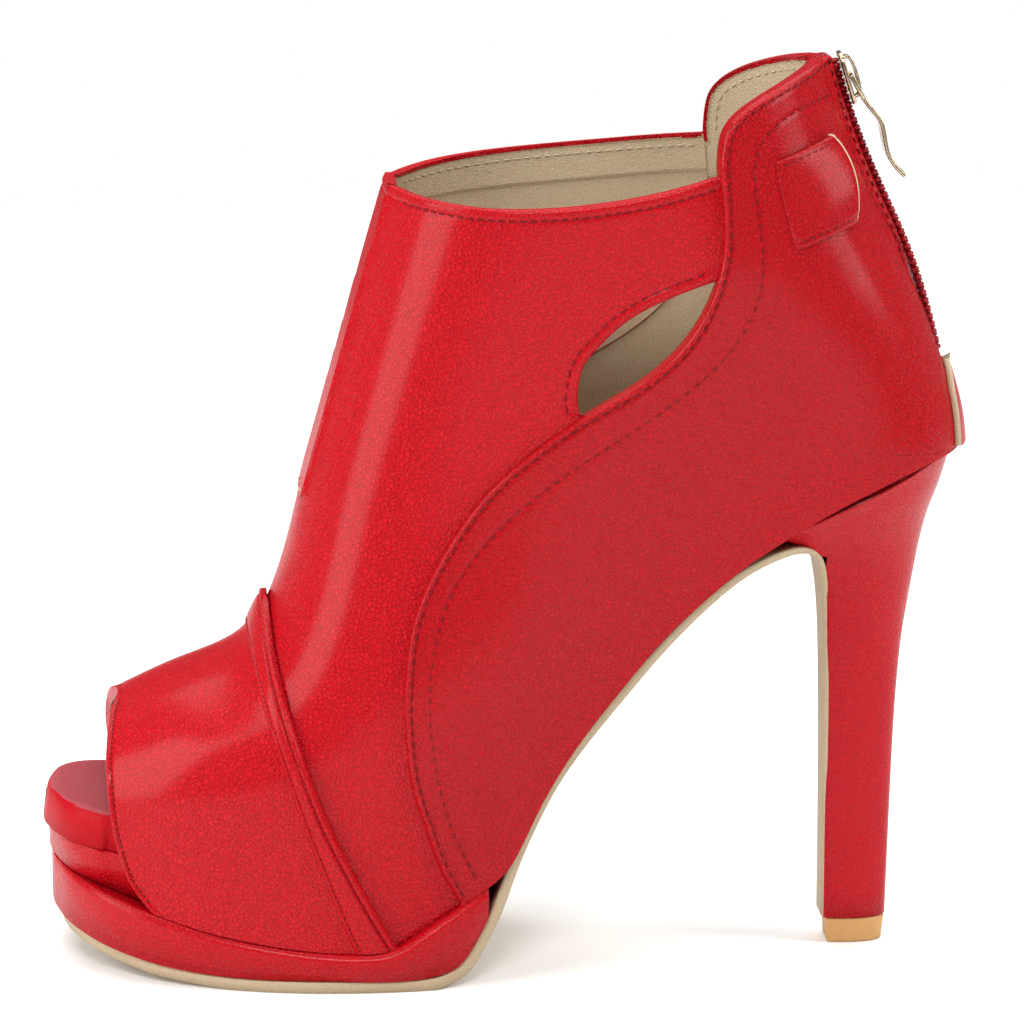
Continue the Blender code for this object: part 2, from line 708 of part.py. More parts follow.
def build_zip(tape_finish, chain_finish):
    """The tape closes the slot in the wall, and the chain lies on it."""
    tape = skin("zip_tape", tape_finish, -WALL, 0.0)
    tape_tool = cutter(
        "cut_tape", zip_outline(ZIP_FOOT, GAP), "Y", -SLOT_HALF + GAP, SLOT_HALF - GAP
    )
    boolean(tape, "INTERSECT", tape_tool)
    boolean(tape, "DIFFERENCE", OUTER["above"], INNER["above"])
    chain = skin("zip_chain", chain_finish, GAP, GAP + CHAIN_WALL)
    chain_tool = cutter("cut_chain", zip_outline(CHAIN_FOOT), "Y", -CHAIN_HALF, CHAIN_HALF)
    boolean(chain, "INTERSECT", chain_tool)
    boolean(chain, "DIFFERENCE", OUTER["above"], INNER["above"])


def build_outsole(finish):
    """The thin outsole, flat under the ball and wrapped down the heel's breast."""
    rows = np.asarray(OUTSOLE, float)
    line = side_points(rows[:, :2])
    ups = normals_up(line)
    ups[:FLAT_ROWS] = (0, 1)
    sections = []
    for (x, z), normal, half_share, thick_share in zip(line, ups, rows[:, 2], rows[:, 3]):
        thick = SOLE * thick_share
        wide = float(half(half_share))
        top = (x + normal[0] * thick, z + normal[1] * thick)
        soft = thick * SOLE_SOFT_SHARE
        ring = slab_ring((x, z), top, wide * SOLE_TAPER, wide, soft, float(centre(x)))
        sections.append(ring)
    loft("outsole", finish, sections)


def sole_top():
    """Height of the outsole's upper face in the forefoot."""
    rows = np.asarray(OUTSOLE, float)
    line = side_points(rows[:, :2])
    ups = normals_up(line)
    ups[:FLAT_ROWS] = (0, 1)
    tops = line + ups * (SOLE * rows[:, 3:4])
    return spline(tops[:FOREFOOT_ROWS, 0], tops[:FOREFOOT_ROWS, 1])


def build_rim(finish):
    """The lower layer of the platform, which stands out all round the upper."""
    top_of_sole = sole_top()
    half_at = column_spline(RIM_PLAN)
    sections = []
    for share, _ in RIM_PLAN:
        x = float(along(share))
        low = float(top_of_sole(x)) + GAP
        high = float(up(feather_height(share))) - SEAT_GAP
        high = max(high, low + RIM_LEAST)
        wide = float(half(half_at(share)))
        soft = min(RIM_SOFT, (high - low) * RIM_SOFT_SHARE)
        ring = slab_ring((x, low), (x, high), wide - RIM_TUCK, wide, soft, float(centre(x)))
        sections.append(ring)
    loft("platform_rim", finish, sections)


def inside_half(x, z):
    """Half width inside the upper's wall, which is measured square to the outline."""
    inset = WALL + SEAT_GAP
    turns = np.linspace(0, np.pi, INSET_TURNS)
    around = x + inset * np.cos(turns)
    return float(np.min(half_width(around, np.full_like(turns, z)) - inset * np.sin(turns)))


def build_middle(finish):
    """The recessed middle layer of the platform."""
    plan = column_spline(BED_PLAN)
    bed_at = column_spline(BED)
    sections = []
    for share in MIDDLE_STATIONS:
        x = float(along(share))
        low = float(up(feather_height(share)))
        high = float(up(bed_at(share))) - GAP
        top_half = float(half(plan(share - MIDDLE_SETBACK)))
        low_half = max(top_half - MIDDLE_TUCK, top_half / 2)
        if share > UPPER_START:
            top_half = min(top_half, inside_half(x, high) - BED_SLACK)
            low_half = min(low_half, inside_half(x, low) - BED_SLACK)
        ring = slab_ring((x, low), (x, high), low_half, top_half, MIDDLE_SOFT, float(centre(x)))
        sections.append(ring)
    loft("platform_middle", finish, sections)


def build_bed(finish):
    """The insole: its front end is the padded top layer of the platform."""
    plan = column_spline(BED_PLAN)
    stations = np.array(BED_STATIONS)
    line = np.stack([along(stations), up(column_spline(BED)(stations))], axis=-1)
    ups = normals_up(line)
    sections = []
    for share, (x, z), normal in zip(stations, line, ups):
        to_waist = min(max((share - BED_THIN_FROM) / (BED_THIN_TO - BED_THIN_FROM), 0), 1)
        thick = BED_FRONT + (BED_WAIST - BED_FRONT) * to_waist**BED_THIN_POWER
        top = (x + normal[0] * thick, z + normal[1] * thick)
        low_half = float(half(plan(share)))
        top_half = low_half
        soft = BED_SOFT
        if share > UPPER_START:
            low_half = min(low_half, inside_half(x, z) - BED_SLACK)
            top_half = min(top_half, inside_half(*top) - BED_SLACK)
            soft = min(BED_SOFT, thick * BED_SOFT_SHARE)
        sections.append(slab_ring((x, z), top, low_half, top_half, soft, float(centre(x))))
    loft("insole", finish, sections)


def heel_height(share):
    foot = TOP_PIECE + GAP
    return foot + share * (HEEL_RISE - foot)


def heel_ring(front, back, half_wide):
    """A D-shaped section with its flat side to the front."""
    front = np.asarray(front, float)
    back = np.asarray(back, float)
    wide_share = list(HEEL_SECTION)
    widest = HEEL_SECTION[-1][0]
    for step in range(1, HEEL_ARC):
        angle = np.pi / 2 * step / HEEL_ARC
        share = widest + (1 - widest) * np.sin(angle)
        wide_share.append((share, np.cos(angle)**HEEL_BACK_POWER))
    ring = []
    for share, wide in wide_share:
        x, z = front + (back - front) * share
        ring.append((x, wide * half_wide, z))
    tip = (back[0], 0.0, back[1])
    return ring + [tip] + [(x, -y, z) for x, y, z in reversed(ring)]


def sole_clearance():
    """All that lies in front of the outsole's inner face, where the heel may not reach."""
    rows = np.asarray(OUTSOLE[WAIST_ROW:], float)
    line = side_points(rows[:, :2])
    inner = line + normals_up(line) * (SOLE * rows[:, 3:4] + GAP)
    ends = [(inner[-1, 0], -FAR), (-FAR, -FAR), (-FAR, inner[0, 1])]
    return cutter("cut_sole_clearance", list(map(tuple, inner)) + ends, "Y", -FAR, FAR)


def seat_clearance():
    """All that lies above the upper's lower edge at the heel."""
    shares = np.linspace(0.70, 1.05, SEAM_POINTS)
    line = np.stack([along(shares), up(feather_height(shares)) - SEAT_GAP], axis=-1)
    ends = [(line[-1, 0], 2 * HEEL_RISE), (line[0, 0], 2 * HEEL_RISE)]
    return cutter("cut_seat_clearance", list(map(tuple, line)) + ends, "Y", -FAR, FAR)


def build_heel(finish, tip_finish):
    """The covered stiletto and the small top piece that it stands on."""
    rows = np.asarray(HEEL, float)
    reach = np.arange(len(rows))
    fine = np.linspace(0, len(rows) - 1, HEEL_STEPS * (len(rows) - 1) + 1)
    columns = [spline(reach, rows[:, i])(fine) for i in range(5)]
    sections = []
    for front_x, front_z, back_x, back_z, wide in zip(*columns):
        front = (float(along(front_x)), heel_height(front_z))
        back = (float(along(back_x)), heel_height(back_z))
        sections.append(heel_ring(front, back, float(half(wide))))
    heel = loft("heel", finish, sections)
    boolean(heel, "DIFFERENCE", sole_clearance(), seat_clearance())
    front_x = float(along(HEEL[0][0])) + TIP_INSET
    back_x = float(along(HEEL[0][2])) - TIP_INSET
    wide = float(half(HEEL[0][4])) - TIP_INSET
    rings = []
    for z, taper in ((0.0, TIP_TAPER), (TOP_PIECE, 0.0)):
        rings.append(heel_ring((front_x, z), (back_x - taper, z), wide - taper))
    loft("top_piece", tip_finish, rings)


def zip_frame(drop, stand):
    """Place on the back line below its top: X points out, Z up along the zip."""
    top = float(up(2.0))
    reach = lengths_along(back_path)
    at_top = np.interp(top, back_path[:, 1], reach)
    place = [np.interp(at_top - drop, reach, back_path[:, i]) for i in (0, 1)]
    ahead = [np.interp(at_top - drop + 0.001, reach, back_path[:, i]) for i in (0, 1)]
    upward = Vector((ahead[0] - place[0], 0, ahead[1] - place[1])).normalized()
    outward = Vector((upward.z, 0, -upward.x))
    origin = Vector((place[0], 0, place[1])) + outward * stand
    frame = Matrix((outward, Vector((0, 1, 0)), upward)).transposed().to_4x4()
    return Matrix.Translation(origin) @ frame


def side_plate(name, outline, width, collection):
    """A flat outline in X and Z, extruded to a width about Y."""
    bm = bmesh.new()
    face = bm.faces.new([bm.verts.new((x, -width / 2, z)) for x, z in outline])
    moved = bmesh.ops.extrude_face_region(bm, geom=[face], use_keep_orig=True)
    fresh = [v for v in moved["geom"] if isinstance(v, bmesh.types.BMVert)]
    bmesh.ops.translate(bm, verts=fresh, vec=Vector((0, width, 0)))
    return finish_mesh(name, bm, collection, smooth=False)


def build_slider(finish):
    """The slider: a plate over the chain with an arched bail for the pull."""
    stand = GAP + CHAIN_WALL + GAP
    frame = zip_frame(SLIDER_DROP, stand)
    long, wide = SLIDER_LENGTH / 2, SLIDER_WIDTH
    plate = [(0, -long), (0, long), (SLIDER_PLATE, long), (SLIDER_PLATE, -long)]
    slider = side_plate("zip_slider", plate, wide, BOOT)
    slider.data.materials.append(finish)
    loop = side_plate("bail_form", bail_outline(), BAIL_WIDTH, CUTTERS)
    hide(loop)
    for piece in (slider, loop):
        piece.matrix_world = frame
    boolean(slider, "UNION", loop)


def bail_outline():
    """The arch seen from the side: its feet sink into the plate."""
    foot = SLIDER_PLATE / 2
    high = SLIDER_PLATE + BAIL_HEIGHT
    long = BAIL_LENGTH / 2
    outer = [(foot, -long)] + arch(long, high) + [(foot, long)]
    long -= BAIL_WALL
    high -= BAIL_WALL
    inner = [(foot, -long)] + arch(long, high) + [(foot, long)]
    return outer + inner[::-1]


def arch(long, high):
    """Points of a flat-topped arch, from its lower to its upper foot."""
    across_power, up_power = BAIL_POWERS
    points = []
    for step in range(1, ARCH_STEPS):
        angle = np.pi * step / ARCH_STEPS
        across = -np.cos(angle)
        across = np.sign(across) * abs(across)**across_power
        points.append((high * np.sin(angle)**up_power, long * across))
    return points


def build_pull(finish):
    """The wavy pull: an eye round the bail and a thin bar. Its origin is the hinge."""
    stand = GAP + CHAIN_WALL + GAP + SLIDER_PLATE + GAP + PULL_WALL / 2
    hinge = zip_frame(SLIDER_DROP, stand)
    head = PULL_WALL / 2
    centre_line = []
    for step in range(PULL_STEPS + 1):
        down = -head + (PULL_LENGTH + head) * step / PULL_STEPS
        share = max(down - EYE_REACH, 0) / (PULL_LENGTH - EYE_REACH)
        centre_line.append((PULL_WAVE * np.sin(2 * np.pi * share) * min(3 * share, 1), -down))
    front = [(x + PULL_WALL / 2, z) for x, z in centre_line]
    rear = [(x - PULL_WALL / 2, z) for x, z in centre_line]
    pull = side_plate("zip_pull", front + rear[::-1], PULL_WIDTH, BOOT)
    pull.data.materials.append(finish)
    eye_half = BAIL_WIDTH / 2 + EYE_MARGIN
    bottom = -EYE_REACH
    opening = [(-FAR, bottom), (FAR, bottom), (FAR, -head), (-FAR, -head)]
    eye = side_plate("eye_form", opening, 2 * eye_half, CUTTERS)
    hide(eye)
    boolean(pull, "DIFFERENCE", eye)
    lean = Matrix.Rotation(-PULL_LEAN, 4, "Y")
    for piece in (pull, eye):
        piece.matrix_world = hinge @ lean


clear_scene()
BOOT = new_collection("peep_toe_boot")
CUTTERS = new_collection("cutters")
SKIN_ROWS = skin_rows()
toe_outline = seam(TOE_EDGE) + corners((0.147, -0.1), (-0.3, -0.1), (-0.3, 0.9), (0.0, 0.9))
TOE_CUT = cutter("cut_toe", toe_outline, "Y", -FAR, FAR)
OUTER = side_cutters(-1)
INNER = side_cutters(1)
CUT_OUT = cut_out()
SLOT = cutter("cut_slot", zip_outline(ZIP_FOOT), "Y", -SLOT_HALF, SLOT_HALF)

leather = material("red_leather", (0.52, 0.011, 0.018), 0.38)
leather_deep = material("red_leather_platform", (0.40, 0.010, 0.016), 0.45)
lining = material("beige_lining", (0.60, 0.48, 0.31), 0.65)
sole_leather = material("beige_outsole", (0.47, 0.37, 0.23), 0.60)
tip_plastic = material("tan_top_piece", (0.55, 0.30, 0.09), 0.50)
tape_cloth = material("red_tape", (0.38, 0.010, 0.016), 0.75)
gold = material("pale_gold", (0.66, 0.55, 0.36), 0.28, 1.0)

build_outsole(sole_leather)
build_rim(leather_deep)
build_middle(leather_deep)
build_bed(leather_deep)
build_upper(leather)
build_heel(leather, tip_plastic)
build_quarters(leather)
build_toe_pieces(leather, leather)
build_keepers(leather)
build_counter_tab(leather)
build_zip(tape_cloth, tape_cloth)
build_slider(gold)
build_pull(gold)
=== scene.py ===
"""A red leather peep-toe ankle boot on a stiletto heel, dressed over its frame."""
import bmesh
import bpy
import numpy as np
from mathutils import Matrix, Vector


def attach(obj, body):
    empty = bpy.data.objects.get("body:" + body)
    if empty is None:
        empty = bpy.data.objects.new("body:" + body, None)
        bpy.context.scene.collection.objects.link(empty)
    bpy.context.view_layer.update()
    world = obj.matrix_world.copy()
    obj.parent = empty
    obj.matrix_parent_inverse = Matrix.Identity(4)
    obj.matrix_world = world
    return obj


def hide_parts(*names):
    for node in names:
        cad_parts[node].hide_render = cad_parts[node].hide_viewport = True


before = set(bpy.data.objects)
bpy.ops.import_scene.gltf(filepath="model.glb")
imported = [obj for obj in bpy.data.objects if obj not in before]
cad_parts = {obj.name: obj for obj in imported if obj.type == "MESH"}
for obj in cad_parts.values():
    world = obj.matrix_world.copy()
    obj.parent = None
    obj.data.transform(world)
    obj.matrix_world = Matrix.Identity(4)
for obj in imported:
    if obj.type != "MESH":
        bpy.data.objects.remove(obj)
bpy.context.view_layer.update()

# Vamp: the front of the boot, one skin of pebbled red calf with a pale calf lining.
# It is lasted over a wooden last, whose outline and half widths are given here, and its
# upper edge round the ankle and its edge at the cut-out are folded over and stitched.
LENGTH, BALL_SHARE, HALF_WIDTH = 0.2135, 0.348, 0.0395
HEEL_RISE, SHAFT_RISE = 0.1205, 0.0910
RIDGE = [
    (-0.088, 0.000), (-0.074, 0.149), (-0.045, 0.299), (-0.008, 0.392), (0.041, 0.458),
    (0.095, 0.508), (0.148, 0.553), (0.191, 0.585), (0.222, 0.621), (0.244, 0.685),
    (0.262, 0.772), (0.283, 0.917), (0.308, 1.104), (0.333, 1.313), (0.358, 1.522),
    (0.377, 1.676), (0.404, 1.896), (0.442, 2.203),
]
BACK = [
    (0.993, 0.498), (0.993, 0.830), (0.992, 1.005), (0.988, 1.080), (0.980, 1.152),
    (0.970, 1.234), (0.956, 1.354), (0.933, 1.508), (0.903, 1.662), (0.873, 1.836),
    (0.852, 1.995), (0.831, 2.198),
]
FEATHER = [
    (-0.027, 0.232), (0.020, 0.196), (0.067, 0.170), (0.114, 0.146), (0.161, 0.124),
    (0.207, 0.107), (0.254, 0.094), (0.301, 0.085), (0.348, 0.083), (0.376, 0.091),
    (0.409, 0.124), (0.446, 0.163), (0.479, 0.199), (0.503, 0.241), (0.526, 0.320),
    (0.554, 0.408), (0.587, 0.491), (0.620, 0.563), (0.662, 0.651), (0.704, 0.724),
    (0.746, 0.788), (0.788, 0.840), (0.830, 0.886), (0.873, 0.929), (0.915, 0.966),
    (0.957, 0.993), (0.993, 1.002),
]
FOOT_HALF = [
    (-0.027, 0.519), (0.039, 0.608), (0.072, 0.673), (0.114, 0.765), (0.161, 0.846),
    (0.217, 0.901), (0.282, 0.929), (0.348, 0.919), (0.414, 0.858), (0.479, 0.765),
    (0.545, 0.681), (0.610, 0.623), (0.685, 0.597), (0.770, 0.600), (0.854, 0.620),
    (0.919, 0.633), (1.004, 0.640),
]
SHAFT_HALF = [
    (0.332, 0.949), (0.581, 0.886), (0.830, 0.800), (1.104, 0.775), (1.434, 0.795),
    (1.764, 0.820), (2.148, 0.830),
]
CENTRE = [
    (-0.027, 0.208), (0.072, 0.187), (0.114, 0.157), (0.170, 0.111), (0.254, 0.061),
    (0.348, 0.030), (0.442, 0.010), (0.559, 0.000), (0.723, 0.000), (1.004, 0.000),
]
FRONT_ROUND = [
    (0.332, 0.759), (0.515, 0.785), (0.622, 0.810), (0.788, 0.861), (1.104, 0.962),
    (1.654, 1.139), (2.203, 1.215),
]
BACK_ROUND = [
    (0.747, 0.658), (1.005, 0.658), (1.214, 0.734), (1.489, 0.911), (1.764, 1.114),
    (2.038, 1.215),
]
ZIP_RIDGE, FLANK_RADIUS, FLANK_SLOPE, FLANK_HALF = 0.0030, 0.0050, 1.1, 0.0085
RIDGE_FROM, RIDGE_TO = 1.16, 1.60
BAND_REAR = [
    (0.249, 0.760), (0.252, 0.668), (0.254, 0.640), (0.261, 0.580), (0.276, 0.486),
    (0.302, 0.354), (0.333, 0.235), (0.376, 0.092), (0.400, 0.020),
]
QUARTER_EDGE = [
    (0.480, 0.050), (0.447, 0.161), (0.425, 0.234), (0.409, 0.317), (0.395, 0.398),
    (0.389, 0.476), (0.387, 0.553), (0.389, 0.628), (0.398, 0.722), (0.415, 0.798),
    (0.443, 0.884), (0.480, 0.969), (0.522, 1.046), (0.575, 1.134), (0.638, 1.221),
    (0.681, 1.308), (0.706, 1.397), (0.720, 1.486), (0.726, 1.586), (0.724, 1.686),
    (0.721, 1.760),
]
HOLE = [
    (0.5755, 1.141), (0.573, 1.170), (0.574, 1.220), (0.580, 1.269), (0.596, 1.316),
    (0.622, 1.373), (0.659, 1.423), (0.690, 1.453), (0.718, 1.477),
]
COLLAR_OUTER = [
    (0.260, 1.830), (0.320, 1.731), (0.382, 1.685), (0.419, 1.674), (0.459, 1.665),
    (0.521, 1.662), (0.595, 1.674), (0.658, 1.699), (0.720, 1.738),
]
COLLAR_INNER = [
    (0.260, 1.830), (0.320, 1.731), (0.382, 1.685), (0.419, 1.689), (0.459, 1.697),
    (0.531, 1.709), (0.620, 1.724), (0.685, 1.735), (0.732, 1.742),
]
INNER_SETBACK = 0.013
WALL = 0.0016
VAMP_ROLL = 0.0008
EDGE_STEPS = np.array([0, .12, .3, .5, .75, 1.0, 1.3, 1.6, 1.85, 2.1, 2.35, 2.6, 2.85, 3.2, 3.8, 4.8, 6.2, 7.6, 8.5, 8.9, 9.3, 10.0]) / 1000


def along(share):
    return (np.asarray(share, float) - BALL_SHARE) * LENGTH


def up(share):
    share = np.asarray(share, float)
    return np.minimum(share, 1) * HEEL_RISE + np.maximum(share - 1, 0) * SHAFT_RISE


def half(share):
    return np.asarray(share, float) * HALF_WIDTH


def share_along(x):
    return np.asarray(x, float) / LENGTH + BALL_SHARE


def share_up(z):
    z = np.asarray(z, float)
    return np.minimum(z, HEEL_RISE) / HEEL_RISE + np.maximum(z - HEEL_RISE, 0) / SHAFT_RISE


def spline(keys, values):
    """A natural cubic through the values, straight past both ends."""
    keys = np.asarray(keys, float)
    values = np.asarray(values, float)
    count = len(keys)
    steps = np.diff(keys)
    slopes = np.diff(values) / steps
    matrix = np.eye(count)
    changes = np.zeros(count)
    for i in range(1, count - 1):
        matrix[i, i - 1:i + 2] = steps[i - 1], 2 * (steps[i - 1] + steps[i]), steps[i]
        changes[i] = 6 * (slopes[i] - slopes[i - 1])
    bends = np.linalg.solve(matrix, changes)
    first = slopes[0] - steps[0] * bends[1] / 6
    last = slopes[-1] + steps[-1] * bends[-2] / 6

    def value_at(query):
        query = np.asarray(query, float)
        inside = np.clip(query, keys[0], keys[-1])
        i = np.clip(np.searchsorted(keys, inside) - 1, 0, count - 2)
        after = inside - keys[i]
        before = keys[i + 1] - inside
        step = steps[i]
        cubic = (bends[i] * before**3 + bends[i + 1] * after**3) / (6 * step)
        left = (values[i] / step - bends[i] * step / 6) * before
        right = (values[i + 1] / step - bends[i + 1] * step / 6) * after
        ends = np.minimum(query - keys[0], 0) * first + np.maximum(query - keys[-1], 0) * last
        return cubic + left + right + ends

    return value_at


def lengths_along(points):
    steps = np.linalg.norm(np.diff(points, axis=0), axis=1)
    return np.concatenate([[0], np.cumsum(steps)])


def smooth_path(points, count=300):
    """Even samples of the smooth curve through a few points."""
    points = np.asarray(points, float)
    reach = lengths_along(points)
    even = np.linspace(0, reach[-1], count)
    return np.stack([spline(reach, column)(even) for column in points.T], axis=-1)


def side_points(rows):
    """Rows of length and height as points seen from the side."""
    rows = np.asarray(rows, float)
    return np.stack([along(rows[:, 0]), up(rows[:, 1])], axis=-1)


def column_spline(rows, column=1):
    rows = np.asarray(rows, float)
    return spline(rows[:, 0], rows[:, column])


ridge_path = smooth_path(side_points(RIDGE))
back_path = smooth_path(side_points(BACK))
feather_height = column_spline(FEATHER)
foot_half = column_spline(FOOT_HALF)
shaft_half = column_spline(SHAFT_HALF)
centre_share = column_spline(CENTRE)
front_round = column_spline(FRONT_ROUND)
back_round = column_spline(BACK_ROUND)


def nearest(path, points):
    """Distance from each point to the path, and the nearest place on it."""
    far_off, feet_found = [], []
    starts = path[:-1]
    runs = np.diff(path, axis=0)
    for chunk in np.array_split(points, max(len(points) // 3000, 1)):
        offsets = chunk[:, None] - starts
        shares = np.clip((offsets * runs).sum(-1) / np.maximum((runs**2).sum(-1), 1e-18), 0, 1)
        feet = starts + shares[..., None] * runs
        distances = np.linalg.norm(chunk[:, None] - feet, axis=-1)
        best = distances.argmin(axis=1)
        rows = np.arange(len(chunk))
        far_off.append(distances[rows, best])
        feet_found.append(feet[rows, best])
    return np.concatenate(far_off), np.concatenate(feet_found)


def from_line(line, points, within=0.006):
    """Distance from points to a line on the last, where it is near."""
    far_off = np.ones(len(points))
    rough = np.concatenate([line[::12], line[-1:]])
    step = np.linalg.norm(np.diff(rough, axis=0), axis=1).max()
    for chunk in np.array_split(np.arange(len(points)), max(len(points) // 20000, 1)):
        spread = np.linalg.norm(points[chunk, None] - rough, axis=-1).min(axis=1)
        near = chunk[spread < within + step / 2]
        if len(near):
            far_off[near] = nearest(line, points[near])[0]
    return far_off


def rounding(distance, reach, fullness):
    return np.sqrt(1 - (1 - np.clip(distance / reach, 0, 1))**fullness)


def smooth_step(share):
    share = np.clip(share, 0, 1)
    return share * share * (3 - 2 * share)


def half_width(x, z):
    """Half width of the last at points seen from the side."""
    points = np.stack([np.ravel(x), np.ravel(z)], axis=-1)
    from_ridge, ridge_feet = nearest(ridge_path, points)
    from_back, back_feet = nearest(back_path, points)
    x_share = share_along(points[:, 0])
    rise = (points[:, 1] - up(feather_height(x_share))) / (0.62 * HEEL_RISE)
    blend = smooth_step(rise)
    full = foot_half(x_share) * (1 - blend) + shaft_half(share_up(points[:, 1])) * blend
    front = rounding(from_ridge, half(front_round(share_up(ridge_feet[:, 1]))), 3.0)
    back_share = share_up(back_feet[:, 1])
    grown = smooth_step((back_share - RIDGE_FROM) / (RIDGE_TO - RIDGE_FROM))
    back = rounding(from_back - ZIP_RIDGE * grown, half(back_round(back_share)), 2.4)
    body = half(full) * front * back
    flank = np.hypot(np.sqrt(2 * FLANK_RADIUS * from_back), FLANK_SLOPE * from_back)
    flank = grown * np.minimum(flank, FLANK_HALF)
    return ((body**6 + flank**6)**(1 / 6)).reshape(np.shape(x))


def centre(x):
    return half(centre_share(share_along(x)))


def on_last(side_view, side):
    """Points seen from the side, put on the last's outer (-1) or inner (1) face."""
    x, z = side_view[..., 0], side_view[..., 1]
    return np.stack([x, centre(x) + side * half_width(x, z), z], axis=-1)


def facing(side_view, side):
    """Outward direction of the last at points seen from the side."""
    step = 0.0002
    slopes = []
    for move in ((step, 0), (0, step)):
        ahead = on_last(side_view + move, side)[..., 1]
        behind = on_last(side_view - move, side)[..., 1]
        slopes.append((ahead - behind) / (2 * step))
    out = np.stack([-side * slopes[0], np.full_like(slopes[0], side), -side * slopes[1]], axis=-1)
    return out / np.linalg.norm(out, axis=-1)[..., None]


def edge(*paths, shares=(0, 1)):
    """A side-view edge as a function of its share, which is set where the paths meet."""
    reach, places, start = [], [], 0.0
    for path, low, high in zip(paths, shares, shares[1:]):
        length = lengths_along(path)
        reach.append(low + (high - low) * length / length[-1])
        places.append(path)
    reach, places = np.concatenate(reach), np.concatenate(places)
    return lambda share: np.stack([np.interp(share, reach, column) for column in places.T], axis=-1)


def patch(first, last, start, end, u, v):
    """Side-view points between four edges: u runs along the start and end, v along the others."""
    u, v = np.meshgrid(u, v)
    a, b = u[..., None], v[..., None]
    flat = (1 - a) * (1 - b) * start(0) + a * (1 - b) * start(1)
    flat = flat + (1 - a) * b * end(0) + a * b * end(1)
    return (1 - a) * first(v) + a * last(v) + (1 - b) * start(u) + b * end(u) - flat


def spaced(points, near, far, middle):
    """Rows of points spread again: at set distances from both ends, evenly between."""
    rows = []
    for row in points:
        reach = lengths_along(row)
        total = reach[-1]
        tight = min(1, 0.9 * total / (near[-1] + far[-1] + 1e-9))
        between = np.linspace(near[-1] * tight, total - far[-1] * tight, middle + 2)[1:-1]
        wanted = np.concatenate([near * tight, between, total - far[::-1] * tight])
        rows.append(np.stack([np.interp(wanted, reach, column) for column in row.T], axis=-1))
    return np.array(rows)


def cut(path, first, last):
    """The part of a path between the places nearest to two points, in that order."""
    ends = [int(np.linalg.norm(path - place, axis=1).argmin()) for place in (first, last)]
    step = 1 if ends[0] <= ends[1] else -1
    part = path[min(ends):max(ends) + 1][::step].copy()
    part[0], part[-1] = first, last
    return part


def crossing(path, other):
    """The place where two side-view paths cross."""
    distances, feet = nearest(other, path)
    return feet[int(distances.argmin())]


def skin(points, lift, lining_out=False):
    """A grid skin through rows of points, raised along its own normals.

    The foot of each corner and its direction stay with it for the walls of its edges.
    """
    rows, columns = points.shape[:2]
    bm = bmesh.new()
    bmesh.ops.create_grid(bm, x_segments=columns - 1, y_segments=rows - 1, size=1)
    for vert, place in zip(bm.verts, points.reshape(-1, 3)):
        vert.co = place
    bm.verts.index_update()
    bm.normal_update()
    middle = points.reshape(-1, 3).mean(axis=0)
    turn = sum(vert.normal.dot(vert.co - Vector(middle)) for vert in bm.verts)
    if turn < 0:
        bmesh.ops.reverse_faces(bm, faces=bm.faces[:])
        bm.normal_update()
    foot = bm.verts.layers.float_vector.new("foot")
    outward = bm.verts.layers.float_vector.new("outward")
    for vert, height in zip(bm.verts, np.ravel(lift)):
        vert[foot] = vert.co
        vert[outward] = vert.normal
        vert.co = vert.co + vert.normal * float(height)
    return bm


def wall(bm, lines, levels, red_levels):
    """Folds the skin's edge inwards along some lines, one step for each level."""
    rim = [e for e in bm.edges if e.is_boundary]
    feet = bm.verts.layers.float_vector["foot"]
    outward = bm.verts.layers.float_vector["outward"]
    middles = np.array([(e.verts[0][feet] + e.verts[1][feet]) / 2 for e in rim])
    close = np.full(len(rim), False)
    for line in lines:
        close |= nearest(line, middles)[0] < 0.0006
    loop = [e for e, near in zip(rim, close) if near]
    for number, level in enumerate(levels):
        made = bmesh.ops.extrude_edge_only(bm, edges=loop)["geom"]
        fresh = {item for item in made if isinstance(item, bmesh.types.BMVert)}
        loop = [e for e in made if isinstance(e, bmesh.types.BMEdge) and set(e.verts) <= fresh]
        for vert in fresh:
            vert.co = vert[feet] + vert[outward] * level
        for item in made:
            if isinstance(item, bmesh.types.BMFace):
                item.material_index = 0 if number < red_levels else 1


def add_piece(name, bm, finishes, body="shoe", smooth=True):
    mesh = bpy.data.meshes.new(name)
    bm.to_mesh(mesh)
    bm.free()
    piece = bpy.data.objects.new(name, mesh)
    bpy.context.scene.collection.objects.link(piece)
    for finish in finishes:
        mesh.materials.append(finish)
    if smooth:
        mesh.shade_smooth()
    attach(piece, body)
    return piece


def links(tree, *pairs):
    for source, target in pairs:
        tree.links.new(source, target)


